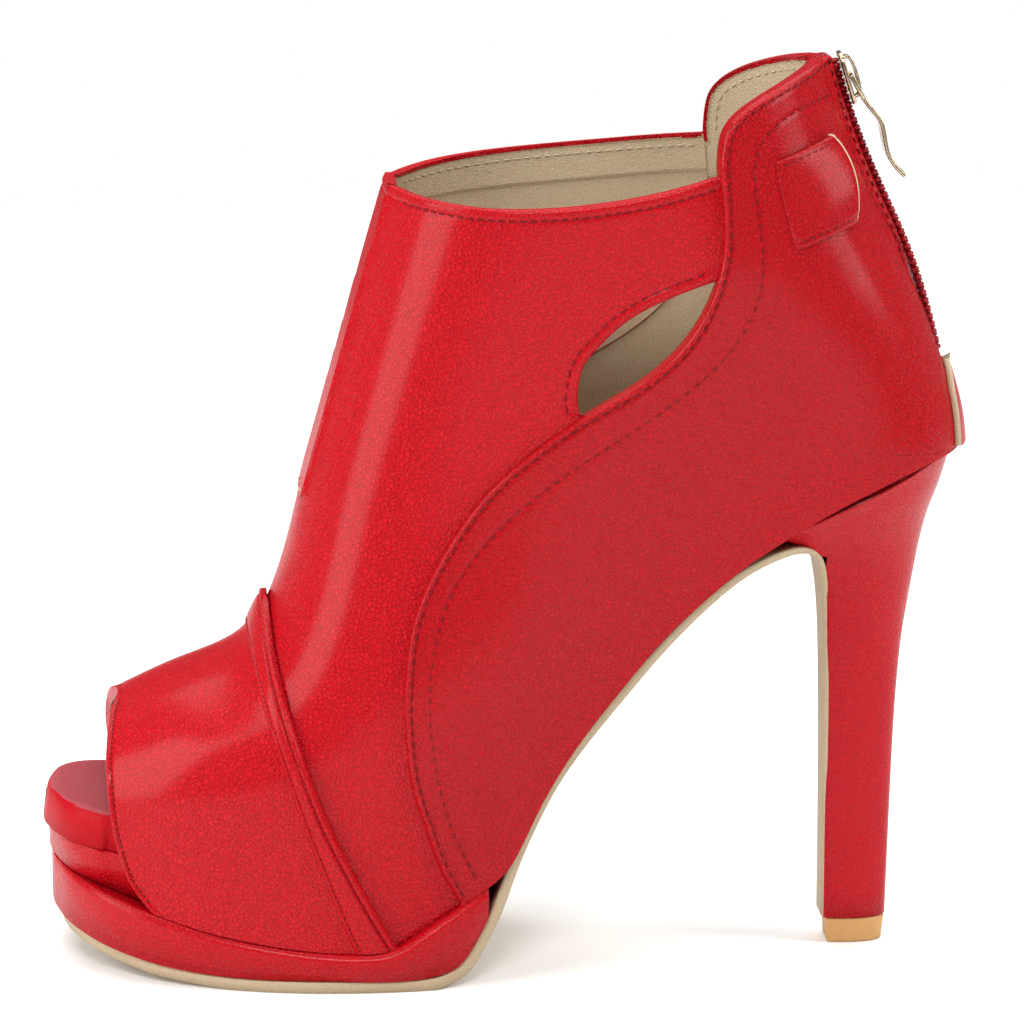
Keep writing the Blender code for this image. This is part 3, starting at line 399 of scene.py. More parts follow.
def leather_grain():
    """Pebbled grain: round cells, the creases between them and long soft wrinkles."""
    group = bpy.data.node_groups.new("leather_grain", "ShaderNodeTree")
    for name, kind in (("Vector", "NodeSocketVector"), ("Scale", "NodeSocketFloat")):
        group.interface.new_socket(name=name, in_out="INPUT", socket_type=kind)
    for name in ("Height", "Crease", "Cloud"):
        group.interface.new_socket(name=name, in_out="OUTPUT", socket_type="NodeSocketFloat")
    nodes = group.nodes
    entry, leave = nodes.new("NodeGroupInput"), nodes.new("NodeGroupOutput")
    warp = nodes.new("ShaderNodeTexNoise")
    warp.inputs["Scale"].default_value = 420
    warp.inputs["Detail"].default_value = 2
    shift = nodes.new("ShaderNodeVectorMath")
    shift.operation = "MULTIPLY_ADD"
    shift.inputs[1].default_value = (0.0011, 0.0011, 0.0011)
    cells = nodes.new("ShaderNodeTexVoronoi")
    cells.feature = "F1"
    creases = nodes.new("ShaderNodeTexVoronoi")
    creases.feature = "DISTANCE_TO_EDGE"
    wider = nodes.new("ShaderNodeMath")
    wider.operation = "MULTIPLY"
    wider.inputs[1].default_value = 0.62
    groove = nodes.new("ShaderNodeMapRange")
    groove.inputs["From Max"].default_value = 0.16
    groove.interpolation_type = "SMOOTHSTEP"
    stretch = nodes.new("ShaderNodeMapping")
    stretch.inputs["Rotation"].default_value = (0, 0.7, 0)
    stretch.inputs["Scale"].default_value = (260, 260, 700)
    wrinkles = nodes.new("ShaderNodeTexNoise")
    wrinkles.inputs["Scale"].default_value = 1
    wrinkles.inputs["Detail"].default_value = 3
    wrinkles.inputs["Distortion"].default_value = 0.6
    cloud = nodes.new("ShaderNodeTexNoise")
    cloud.inputs["Scale"].default_value = 55
    cloud.inputs["Detail"].default_value = 3
    total = nodes.new("ShaderNodeMath")
    total.operation = "MULTIPLY_ADD"
    total.inputs[1].default_value = -0.75
    more = nodes.new("ShaderNodeMath")
    more.operation = "MULTIPLY_ADD"
    more.inputs[1].default_value = 0.45
    last = nodes.new("ShaderNodeMath")
    last.operation = "MULTIPLY_ADD"
    last.inputs[1].default_value = 1.1
    links(
        group,
        (entry.outputs["Vector"], warp.inputs["Vector"]),
        (warp.outputs["Color"], shift.inputs[0]),
        (entry.outputs["Vector"], shift.inputs[2]),
        (shift.outputs[0], cells.inputs["Vector"]),
        (shift.outputs[0], creases.inputs["Vector"]),
        (entry.outputs["Scale"], cells.inputs["Scale"]),
        (entry.outputs["Scale"], wider.inputs[0]),
        (wider.outputs[0], creases.inputs["Scale"]),
        (creases.outputs["Distance"], groove.inputs["Value"]),
        (entry.outputs["Vector"], stretch.inputs["Vector"]),
        (stretch.outputs[0], wrinkles.inputs["Vector"]),
        (entry.outputs["Vector"], cloud.inputs["Vector"]),
        (cells.outputs["Distance"], total.inputs[0]),
        (groove.outputs[0], more.inputs[0]),
        (total.outputs[0], more.inputs[2]),
        (wrinkles.outputs["Fac"], last.inputs[0]),
        (more.outputs[0], last.inputs[2]),
        (last.outputs[0], leave.inputs["Height"]),
        (groove.outputs[0], leave.inputs["Crease"]),
        (cloud.outputs["Fac"], leave.inputs["Cloud"]),
    )
    return group


grain_group = leather_grain()


def leather(name, colour, crease_shade, roughness, scale=1500, height=0.00040, coat=0.22):
    """Grained leather: painted shade darkens the creases of the grain, and the tops are polished."""
    finish = bpy.data.materials.new(name)
    finish.use_nodes = True
    tree = finish.node_tree
    shader = tree.nodes["Principled BSDF"]
    shader.inputs["Coat Weight"].default_value = coat
    shader.inputs["Coat Roughness"].default_value = 0.20
    shader.inputs["Specular IOR Level"].default_value = 0.08
    place = tree.nodes.new("ShaderNodeTexCoord")
    grain = tree.nodes.new("ShaderNodeGroup")
    grain.node_tree = grain_group
    grain.inputs["Scale"].default_value = scale
    bump = tree.nodes.new("ShaderNodeBump")
    bump.inputs["Strength"].default_value = 1.0
    bump.inputs["Distance"].default_value = height
    # Painted shade: the grain's creases take the second, darker colour instead of the leather's own colour.
    tint = tree.nodes.new("ShaderNodeMix")
    tint.data_type = "RGBA"
    tint.inputs["A"].default_value = (*crease_shade, 1)
    tint.inputs["B"].default_value = (*colour, 1)
    mottle = tree.nodes.new("ShaderNodeMapRange")
    mottle.inputs["From Min"].default_value = 0.3
    mottle.inputs["From Max"].default_value = 0.7
    mottle.inputs["To Min"].default_value = roughness - 0.05
    mottle.inputs["To Max"].default_value = roughness + 0.06
    links(
        tree,
        (place.outputs["Object"], grain.inputs["Vector"]),
        (grain.outputs["Height"], bump.inputs["Height"]),
        (bump.outputs["Normal"], shader.inputs["Normal"]),
        (grain.outputs["Crease"], tint.inputs["Factor"]),
        (tint.outputs["Result"], shader.inputs["Base Color"]),
        (grain.outputs["Cloud"], mottle.inputs["Value"]),
        (mottle.outputs["Result"], shader.inputs["Roughness"]),
    )
    return finish


# The second colour given to each leather is the painted shade in the creases of its grain.
red_calf = leather("red_calf", (0.50, 0.002, 0.008), (0.40, 0.0015, 0.006), 0.38)
lining_calf = leather("lining_calf", (0.60, 0.48, 0.33), (0.50, 0.39, 0.25), 0.66, 2600, 0.00012, 0.0)

ridge_to = {}
for side, collar in ((-1, COLLAR_OUTER), (1, COLLAR_INNER)):
    ridge_to[side] = crossing(smooth_path(side_points(collar)), ridge_path)
collar_front = (ridge_to[-1] + ridge_to[1]) / 2
feather_line = np.stack([along(np.linspace(0.02, 0.993, 900)), up(feather_height(np.linspace(0.02, 0.993, 900))) - 0.0004], axis=-1)


def quarter_line(shift, back=0.0):
    """The quarter's front edge, set back under the quarter by some metres."""
    line = smooth_path(side_points([(length + shift, height) for length, height in QUARTER_EDGE]))
    runs = np.gradient(line, axis=0)
    runs /= np.linalg.norm(runs, axis=1)[:, None]
    return line + back * np.stack([runs[:, 1], -runs[:, 0]], axis=-1)


def vamp_side(side):
    """Rows of the vamp on one side, from its lower edge up to the ridge."""
    shift = INNER_SETBACK if side > 0 else 0.0
    collar = smooth_path(side_points(COLLAR_INNER if side > 0 else COLLAR_OUTER))
    band = smooth_path(side_points([(a - 0.006, b) for a, b in BAND_REAR]))
    under = quarter_line(shift, 0.0045)
    foot = crossing(under, feather_line)
    band_foot, band_top = crossing(band, feather_line), crossing(band, ridge_path)
    end = collar[-1] + (0.0030 + shift * LENGTH * 0.5, 0.0004)
    collar_edge = np.concatenate([cut(collar, collar_front, collar[-1]), [end]])
    collar_edge[0] = collar_front
    low = cut(feather_line, band_foot, foot)
    if side < 0:
        hole = smooth_path(side_points(HOLE))
        hole_end = hole[-1] + (0.0034, 0.0022)
        rise = cut(under, foot, hole[0] + (0.003, 0))
        rise = np.concatenate([rise, [hole[0]]])
        hole_edge = np.concatenate([hole, [hole_end]])
        lower = edge(low, rise, hole_edge, np.array([hole_end, end]), shares=(0, 0.14, 0.60, 0.86, 1))
    else:
        rise = cut(under, foot, end)
        rise = np.concatenate([rise, [end]])
        lower = edge(low, rise, shares=(0, 0.14, 1))
    ridge = edge(cut(ridge_path, band_top, collar_front))
    u = (1 - np.cos(np.pi * np.linspace(0, 0.5, 70)))[::-1]
    u = 1 - u
    v = np.concatenate([np.linspace(0, 0.60, 60, endpoint=False), np.linspace(0.60, 0.86, 50, endpoint=False), np.linspace(0.86, 1, 30)])
    points = patch(lower, ridge, edge(cut(band, band_foot, band_top)), edge(collar_edge[::-1]), u, v)
    solid = on_last(points, side)
    solid[:, -1, 1] = centre(points[:, -1, 0])
    return solid


def vamp_rows():
    """The whole vamp: both sides joined along the ridge, spread for its folded edges."""
    halves = []
    for side in (-1, 1):
        rows = vamp_side(side)
        rows = spaced(rows.transpose(1, 0, 2), np.array([0.0]), EDGE_STEPS, 110).transpose(1, 0, 2)
        rows = spaced(rows, EDGE_STEPS, np.array([0.0]), 50)
        halves.append(rows)
    return np.concatenate([halves[0], halves[1][:, -2::-1]], axis=1)


def fold(distance, radius):
    """Drop of a folded edge, which turns down in a quarter circle."""
    inside = np.clip(radius - distance, 0, radius)
    return np.sqrt(radius**2 - inside**2) - radius


def pressed(distance, place, depth=0.00022, width=0.00030):
    """The narrow dent under a row of stitches."""
    return -depth * np.exp(-((distance - place) / width)**2)


def swell(distance, place, height=0.00015, width=0.0006):
    return height * np.exp(-((distance - place) / width)**2)


vamp_points = vamp_rows()
hole_line = on_last(smooth_path(side_points(HOLE)), -1)
collar_lines = []
for side, collar in ((-1, COLLAR_OUTER), (1, COLLAR_INNER)):
    line = smooth_path(side_points(collar))
    line = np.concatenate([[collar_front], cut(line, collar_front, line[-1])[2:]])
    line = on_last(line, side)
    line[0, 1] = centre(line[0, 0])
    collar_lines.append(line)
flat_vamp = vamp_points.reshape(-1, 3)
from_hole = from_line(hole_line, flat_vamp)
from_collar = np.minimum(*[from_line(line, flat_vamp, 0.011) for line in collar_lines])
vamp_lift = np.zeros(len(flat_vamp))
for distance in (from_hole, from_collar):
    vamp_lift += fold(distance, VAMP_ROLL) + pressed(distance, 0.0026) + swell(distance, 0.0014)
bm = skin(vamp_points, vamp_lift)
wall(bm, [hole_line] + collar_lines, (-0.0011, -0.0015, -WALL - 0.0007), 3)
vamp = add_piece("vamp", bm, [red_calf, lining_calf])


def lining(points, lift, edge_off, strip=0.0088, turned=0.0010):
    """The lining's face: a smooth strip along the edge, which the red calf is turned over."""
    lower = 0.00045 * (1 - smooth_step((edge_off - strip) / 0.0005))
    lower += 0.0003 * (1 - smooth_step((edge_off - turned) / 0.0003))
    bm = skin(points, lift - lower)
    bm.verts.ensure_lookup_table()
    for face in bm.faces:
        if max(edge_off[vert.index] for vert in face.verts) < turned + 0.0001:
            face.material_index = 1
    bmesh.ops.reverse_faces(bm, faces=bm.faces[:])
    return bm


to_edges = np.minimum(from_hole, from_collar)
add_piece("vamp_lining", lining(vamp_points, -WALL, to_edges), [lining_calf, red_calf])
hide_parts("upper")

# Toe cap: a second piece of the same calf laid over the tip of the vamp, with the peep
# toe's edge folded round a fine bead and stitched close behind it.
TOE_EDGE = [
    (0.067, 0.581), (0.093, 0.515), (0.079, 0.489), (0.073, 0.455), (0.071, 0.411),
    (0.073, 0.354), (0.077, 0.295), (0.085, 0.237), (0.093, 0.198), (0.104, 0.167),
    (0.117, 0.140), (0.133, 0.112), (0.147, 0.070),
]
BAND_FRONT = [
    (0.228, 0.720), (0.229, 0.636), (0.232, 0.607), (0.237, 0.557), (0.250, 0.483),
    (0.265, 0.400), (0.286, 0.293), (0.306, 0.198), (0.332, 0.083), (0.350, 0.020),
]
CAP_LIFT = 0.0012
TOE_STEPS = np.array([0, .12, .3, .5, .75, 1.0, 1.25, 1.5, 1.75, 2.0, 2.3, 2.8, 3.6, 4.6]) / 1000
NO_STEPS = np.array([0.0])


def across_toe(front, rear, columns, near, far, middle):
    """Rows across the ridge between two seams, the same on both sides."""
    top = edge(cut(ridge_path, crossing(front, ridge_path), crossing(rear, ridge_path)))
    low = edge(cut(feather_line, crossing(front, feather_line), crossing(rear, feather_line)))
    start = edge(cut(front, crossing(front, ridge_path), crossing(front, feather_line)))
    end = edge(cut(rear, crossing(rear, ridge_path), crossing(rear, feather_line)))
    v = 1 - np.sin(np.pi / 2 * np.linspace(1, 0, columns))
    flat = patch(start, end, top, low, np.linspace(0, 1, 120), v)
    sides = []
    for side in (-1, 1):
        solid = on_last(flat, side)
        solid[0, :, 1] = centre(flat[0, :, 0])
        sides.append(spaced(solid, near, far, middle))
    return np.concatenate([sides[0][::-1], sides[1][1:]]).transpose(1, 0, 2)


def both_sides(line, top):
    """A seam on the last's two faces, the outer and the inner one."""
    lines = []
    for side in (-1, 1):
        solid = on_last(line, side)
        lines.append(np.concatenate([[[top[0], centre(top[0]), top[1]]], solid[1:]]))
    return lines


toe_front = smooth_path(side_points(TOE_EDGE))
band_front = smooth_path(side_points(BAND_FRONT))
cap_rear = band_front + (0.0009, 0)
cap_points = across_toe(toe_front, cap_rear, 70, TOE_STEPS, NO_STEPS, 70)
toe_top = crossing(toe_front, ridge_path)
toe_lines = both_sides(cut(toe_front, toe_top, toe_front[-1]), toe_top)
flat_cap = cap_points.reshape(-1, 3)
from_toe = np.minimum(*[from_line(line, flat_cap) for line in toe_lines])
cap_lift = CAP_LIFT + fold(from_toe, 0.0008) + pressed(from_toe, 0.0017) + swell(from_toe, 0.0009, 0.0003, 0.0005)
bm = skin(cap_points, cap_lift)
wall(bm, toe_lines, (0.0002, -0.0004, -0.0012, -WALL), 4)
toe_cap = add_piece("toe_cap_cover", bm, [red_calf, lining_calf])
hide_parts("toe_cap")
inner_bm = skin(cap_points, np.full(len(flat_cap), -WALL))
bmesh.ops.reverse_faces(inner_bm, faces=inner_bm.faces[:])
add_piece("toe_lining", inner_bm, [lining_calf])

# Band: a narrow strip of calf, softly padded, folded and stitched across the toe where
# the cap meets the vamp, with a thin piping along its rear edge.
BAND_LIFT = 0.0018
BAND_STEPS = np.array([0, .1, .25, .45, .6, .8, 1.0, 1.15, 1.3, 1.45, 1.6, 1.8, 2.2]) / 1000
PIPING_STEPS = np.array([0, .1, .25, .45, .7, .95, 1.2, 1.45, 1.65, 1.8, 1.95, 2.15, 2.6]) / 1000
band_rear = smooth_path(side_points(BAND_REAR))
band_points = across_toe(band_front, band_rear, 70, BAND_STEPS, PIPING_STEPS, 16)
band_top = crossing(band_front, ridge_path)
band_lines = both_sides(cut(band_front, band_top, band_front[-1]), band_top)
rear_top = crossing(band_rear, ridge_path)
piping_lines = both_sides(cut(band_rear, rear_top, band_rear[-1]), rear_top)
flat_band = band_points.reshape(-1, 3)
from_front = np.minimum(*[nearest(line[::2], flat_band)[0] for line in band_lines])
from_rear = np.minimum(*[nearest(line[::2], flat_band)[0] for line in piping_lines])
share = np.clip(from_front / (from_front + from_rear + 1e-9), 0, 1)
band_lift = BAND_LIFT + 0.0005 * np.sin(np.pi * share)
band_lift += fold(from_front, 0.0008) * 2.2 + pressed(from_front, 0.0013, 0.00035, 0.00028)
band_lift += 1.6 * fold(from_rear, 0.0008) + pressed(from_rear, 0.0018, 0.00045, 0.00025)
band_lift += swell(from_rear, 0.0009, 0.0002, 0.0005)
toe_band = add_piece("toe_band_cover", skin(band_points, band_lift), [red_calf])
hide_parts("toe_band")

# Quarters: two panels of the same calf laid over the vamp, folded and stitched along
# their front edges, and closed up the back by the zip. Their lining is pale calf.
TAB_EDGE = [
    (0.721, 1.760), (0.723, 1.809), (0.729, 1.857), (0.749, 1.903), (0.788, 1.948),
    (0.824, 1.979), (0.863, 2.001), (0.933, 2.016),
]
ZIP_FOOT = 1.185
ZIP_HALF = 0.0030
QUARTER_LIFT = 0.0015
QUARTER_STEPS = np.array([0, .1, .25, .45, .7, .95, 1.2, 1.45, 1.7, 1.95, 2.3, 2.8, 3.5, 4.4, 5.4, 6.4, 7.2, 7.7, 8.05, 8.35, 8.65, 9.0, 9.4, 10.2]) / 1000
ZIP_STEPS = np.array([0, .12, .3, .5, .75, 1.0, 1.3, 1.6, 1.9, 2.2, 2.6, 3.2, 4.0]) / 1000
SECOND_ROW = [
    (0.4629, 0.211), (0.4409, 0.295), (0.4214, 0.417), (0.4142, 0.574), (0.4222, 0.687),
    (0.4472, 0.800), (0.4899, 0.894), (0.5537, 0.988), (0.6175, 1.082), (0.6919, 1.204),
    (0.7391, 1.318), (0.7627, 1.432), (0.7665, 1.557), (0.759, 1.681), (0.7614, 1.803),
    (0.7991, 1.879), (0.8482, 1.900),
]
# Rows of the quarter: where they start on its front edge and end on its rear or lower one
ROW_STARTS = [
    (0.724, 1.760), (0.720, 1.486), (0.638, 1.221), (0.575, 1.134), (0.480, 0.969),
    (0.415, 0.798), (0.387, 0.553), (0.409, 0.317),
]
ROW_ENDS = [
    (0.883, 1.800), (0.945, 1.400), (0.989, 1.110), (0.993, 1.020), (0.915, 0.966),
    (0.746, 0.788), (0.620, 0.563), (0.510, 0.265),
]
ZIP_ROW_FAR = [(0.8523, 1.969), (0.8581, 1.883), (0.8739, 1.739), (0.9029, 1.593), (0.9337, 1.47), (0.966, 1.28)]


def zip_line(target):
    """Side-view line near the back where the last has a half width, foot to top."""
    line = back_path[back_path[:, 1] > up(1.001)]
    runs = np.gradient(line, axis=0)
    runs /= np.linalg.norm(runs, axis=1)[:, None]
    inward = np.stack([-runs[:, 1], runs[:, 0]], axis=-1)
    wanted = target(share_up(line[:, 1]))
    low, high = np.zeros(len(line)), np.full(len(line), 0.012)
    for _ in range(30):
        reach = (low + high) / 2
        place = line + inward * reach[:, None]
        wide = half_width(place[:, 0], place[:, 1])
        low, high = np.where(wide < wanted, reach, low), np.where(wide < wanted, high, reach)
    return line + inward * high[:, None]


def zip_edge(share):
    return 0.00006 + (ZIP_HALF - 0.00006) * smooth_step((share - ZIP_FOOT + 0.015) / 0.05)


zip_front = zip_line(zip_edge)


def quarter_edge(side):
    """The quarter's front edge from the zip round the tab and down to the sole."""
    shift = INNER_SETBACK if side > 0 else 0.0
    tab = smooth_path(side_points([(a + shift, b) for a, b in TAB_EDGE]))
    top = crossing(tab, zip_front)
    down = quarter_line(shift)[::-1]
    whole = np.concatenate([cut(tab, top, tab[0])[:-1], cut(down, down[0], crossing(down, feather_line))])
    whole[0] = top
    return smooth_path(np.concatenate([whole[:-3:6], whole[-1:]]), 600), top


def quarter_side(side):
    """Rows of a quarter, each from its front edge to the zip, the heel or the sole."""
    shift = INNER_SETBACK if side > 0 else 0.0
    whole, top = quarter_edge(side)
    heel = np.array([along(0.993), up(1.0)]) - (0.00005, 0.0003)
    rear = np.concatenate([cut(zip_front, top, zip_front[0]), [heel]])
    below = cut(feather_line, heel, whole[-1])
    closing = np.concatenate([rear, below[1:]])
    reach = [lengths_along(path) / lengths_along(path)[-1] for path in (whole, closing)]
    pairs = [(0.0, 0.0)]
    for (a, b), end in zip(ROW_STARTS, ROW_ENDS):
        places = side_points([(a + shift, b), end])
        pairs.append([
            float(reach[i][np.linalg.norm(path - place, axis=1).argmin()])
            for i, (path, place) in enumerate(zip((whole, closing), places))
        ])
    starts, ends = np.array(pairs + [(1.0, 1.0)]).T
    v = np.linspace(0, 1, 280)
    first = np.stack([np.interp(v, reach[0], column) for column in whole.T], axis=-1)
    paired = np.interp(v, starts, ends)
    last = np.stack([np.interp(paired, reach[1], column) for column in closing.T], axis=-1)
    u = (1 - np.cos(np.pi * np.linspace(0, 1, 150))) / 2
    flat = first[:, None] + (last - first)[:, None] * u[:, None]
    return spaced(on_last(flat, side), QUARTER_STEPS, ZIP_STEPS, 60), on_last(whole[::2], side), on_last(rear, side)


def stitch_row(line, raised, pitch=0.00275, length=0.0017, width=0.00044, start=0.5):
    """Places and turns of stitches, evenly along a line that lies on the last."""
    reach = lengths_along(line)
    count = int(reach[-1] / pitch)
    wanted = (np.arange(count) + start) * pitch
    turns = []
    for place in wanted:
        at = np.array([np.interp(place, reach, column) for column in line.T])
        ahead = np.array([np.interp(place + 0.0008, reach, column) for column in line.T])
        behind = np.array([np.interp(place - 0.0008, reach, column) for column in line.T])
        out = np.array([np.interp(place, reach, column) for column in raised.T])
        run = Vector(ahead - behind).normalized()
        out = Vector(out).normalized()
        out = (out - run * out.dot(run)).normalized()
        turn = Matrix((run, out.cross(run), out)).transposed().to_4x4()
        size = Matrix.Diagonal((length / 2, width / 2, 0.00020, 1))
        turns.append(Matrix.Translation(Vector(at)) @ turn @ size)
    return turns


def repeated(bm, turns):
    """Copies a small shape until there is one for every place."""
    number = bm.verts.layers.int.new("number")
    count = 1
    while count < len(turns):
        more = min(count, len(turns) - count)
        kept = [face for face in bm.faces if face.verts[0][number] < more]
        made = bmesh.ops.duplicate(bm, geom=kept)["geom"]
        for item in made:
            if isinstance(item, bmesh.types.BMVert):
                item[number] += count
        count += more
    for vert in bm.verts:
        vert.co = turns[vert[number]] @ vert.co
    return bm


def stitches(name, turns, finish):
    """One small rounded stitch at every place."""
    bm = bmesh.new()
    bmesh.ops.create_uvsphere(bm, u_segments=8, v_segments=6, radius=1)
    return add_piece(name, repeated(bm, turns), [finish])


def seam_row(side_view, side, height, inset=0.0, **facts):
    """Stitches along a side-view line, at a height off the last."""
    out = facing(side_view, side)
    line = on_last(side_view, side) + out * height
    if inset:
        run = np.gradient(line, axis=0)
        run /= np.linalg.norm(run, axis=1)[:, None]
        line = line + np.cross(out, run) * inset
    return stitch_row(line, out, **facts)


def thread_finish(name, colour):
    """Waxed thread: fine twist lines across each stitch."""
    finish = bpy.data.materials.new(name)
    finish.use_nodes = True
    tree = finish.node_tree
    shader = tree.nodes["Principled BSDF"]
    shader.inputs["Specular IOR Level"].default_value = 0.2
    place = tree.nodes.new("ShaderNodeTexCoord")
    twist = tree.nodes.new("ShaderNodeTexNoise")
    twist.inputs["Scale"].default_value = 2600
    tint = tree.nodes.new("ShaderNodeMix")
    tint.data_type = "RGBA"
    tint.inputs["A"].default_value = (*[0.55 * c for c in colour], 1)
    tint.inputs["B"].default_value = (*colour, 1)
    rough = tree.nodes.new("ShaderNodeMapRange")
    rough.inputs["To Min"].default_value = 0.38
    rough.inputs["To Max"].default_value = 0.65
    bump = tree.nodes.new("ShaderNodeBump")
    bump.inputs["Distance"].default_value = 0.00008
    links(
        tree,
        (place.outputs["Object"], twist.inputs["Vector"]),
        (twist.outputs["Fac"], tint.inputs["Factor"]),
        (tint.outputs["Result"], shader.inputs["Base Color"]),
        (twist.outputs["Fac"], rough.inputs["Value"]),
        (rough.outputs["Result"], shader.inputs["Roughness"]),
        (twist.outputs["Fac"], bump.inputs["Height"]),
        (bump.outputs["Normal"], shader.inputs["Normal"]),
    )
    return finish


red_thread = thread_finish("red_thread", (0.19, 0.003, 0.006))
# A darker copy of the red calf as painted shade: the quarters and keepers are the same calf as the vamp but take this
# shaded colour.
shaded_quarter_calf = leather("red_calf_quarter_painted_shade", (0.43, 0.0015, 0.006), (0.35, 0.001, 0.0045), 0.38)
quarter_turns, quarter_pieces = [], []
second_row = smooth_path(side_points(SECOND_ROW))
for side, label in ((-1, "outer"), (1, "inner")):
    rows, front_line, rear_line = quarter_side(side)
    flat_quarter = rows.reshape(-1, 3)
    from_front = from_line(front_line, flat_quarter)
    from_zip = from_line(rear_line[rear_line[:, 2] > up(ZIP_FOOT)], flat_quarter)
    shift = INNER_SETBACK if side > 0 else 0.0
    second_line = on_last(second_row + (shift * LENGTH, 0), side)
    zip_far = smooth_path(side_points(ZIP_ROW_FAR))
    zip_far_line = on_last(zip_far, side)
    lift = QUARTER_LIFT + fold(from_front, 0.0012)
    lift += pressed(from_front, 0.0016, 0.00028, 0.00032) + swell(from_front, 0.0009, 0.0002, 0.0005)
    lift += pressed(from_line(second_line, flat_quarter), 0.0, 0.00020, 0.0004)
    lift += fold(from_zip, 0.0010) + pressed(from_zip, 0.0020, 0.00028, 0.00032)
    lift += pressed(from_line(zip_far_line, flat_quarter), 0.0, 0.00018, 0.0004)
    bm = skin(rows, lift)
    wall(bm, [front_line, rear_line[rear_line[:, 2] > up(ZIP_FOOT + 0.02)]], (0.0, -0.0008, -WALL - 0.0008), 3)
    quarter = add_piece("quarter_" + label, bm, [shaded_quarter_calf, lining_calf])
    quarter_pieces.append(quarter)
    inner_bm = lining(rows, -WALL - 0.0001, from_line(front_line[front_line[:, 2] > up(1.72 if side > 0 else 1.1)], flat_quarter, 0.011))
    add_piece("quarter_lining_" + label, inner_bm, [lining_calf, shaded_quarter_calf])
    whole, top = quarter_edge(side)
    quarter_turns += seam_row(whole, side, QUARTER_LIFT - 0.0001, -0.0016 * side)
    quarter_turns += seam_row(second_row + (shift * LENGTH, 0), side, QUARTER_LIFT - 0.0001)
    rear_side = cut(zip_front, top, [along(0.966), up(1.24)])
    quarter_turns += seam_row(rear_side, side, QUARTER_LIFT - 0.0001, 0.0020 * side)
    quarter_turns += seam_row(zip_far, side, QUARTER_LIFT - 0.0001)
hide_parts("quarters")
stitches("quarter_stitches", quarter_turns, red_thread)
pale_thread = thread_finish("pale_thread", (0.66, 0.56, 0.40))
lining_turns = []
for side in (-1, 1):
    whole, top = quarter_edge(side)
    tab_side = whole[whole[:, 1] > up(1.72)]
    lining_turns += seam_row(tab_side, side, -WALL - 0.0007, -0.0030 * side, pitch=0.0024, length=0.0016)
    line = smooth_path(side_points(COLLAR_INNER if side > 0 else COLLAR_OUTER))
    line = cut(line, collar_front, line[-1])[10:]
    lining_turns += seam_row(line, side, -WALL - 0.0007, 0.0028 * side, pitch=0.0024, length=0.0016)
stitches("lining_stitches", lining_turns, pale_thread)

# Seams of the vamp, cap and band: short dark stitches close behind each folded edge.
vamp_turns = []
hole_side = smooth_path(side_points(HOLE))
vamp_turns += seam_row(hole_side, -1, -0.0001, 0.0026, start=0.8)
for side, collar in ((-1, COLLAR_OUTER), (1, COLLAR_INNER)):
    line = smooth_path(side_points(collar))
    line = cut(line, collar_front, line[-1])[10:]
    vamp_turns += seam_row(line, side, -0.0001, 0.0026 * side, pitch=0.0024, length=0.0017)
stitches("vamp_stitches", vamp_turns, red_thread)
toe_turns = []
for side in (-1, 1):
    for line, inset, height in (
        (toe_front, 0.0017, CAP_LIFT), (band_front, 0.0011, BAND_LIFT), (band_rear, -0.0018, BAND_LIFT + 0.0001)
    ):
        top = crossing(line, ridge_path)
        line = cut(line, top, crossing(line, feather_line))[3:]
        toe_turns += seam_row(line, side, height - 0.0001, inset * -side, pitch=0.0014, length=0.0010, width=0.0004)
stitches("toe_stitches", toe_turns, red_thread)

# Strap keeper: a short calf loop on each quarter. Its front end comes out of a slit in
# the quarter, its two long edges are folded and stitched, and its rear end is cut raw.
KEEPER_CORNERS = [(0.778, 1.769), (0.835, 1.809), (0.862, 1.588), (0.802, 1.548)]


def keeper_rows(side, across, down):
    """Side-view points of the keeper, from its front to its rear end and top to bottom."""
    front_top, rear_top, rear_low, front_low = side_points(KEEPER_CORNERS)
    u, v = np.meshgrid(across, down)
    u, v = u[..., None], v[..., None]
    rows = (1 - v) * ((1 - u) * front_top + u * rear_top) + v * ((1 - u) * front_low + u * rear_low)
    bow = np.sin(np.pi * v) * 0.0010 * (u - 0.2)
    return rows + bow * np.array([1.0, 0.25])


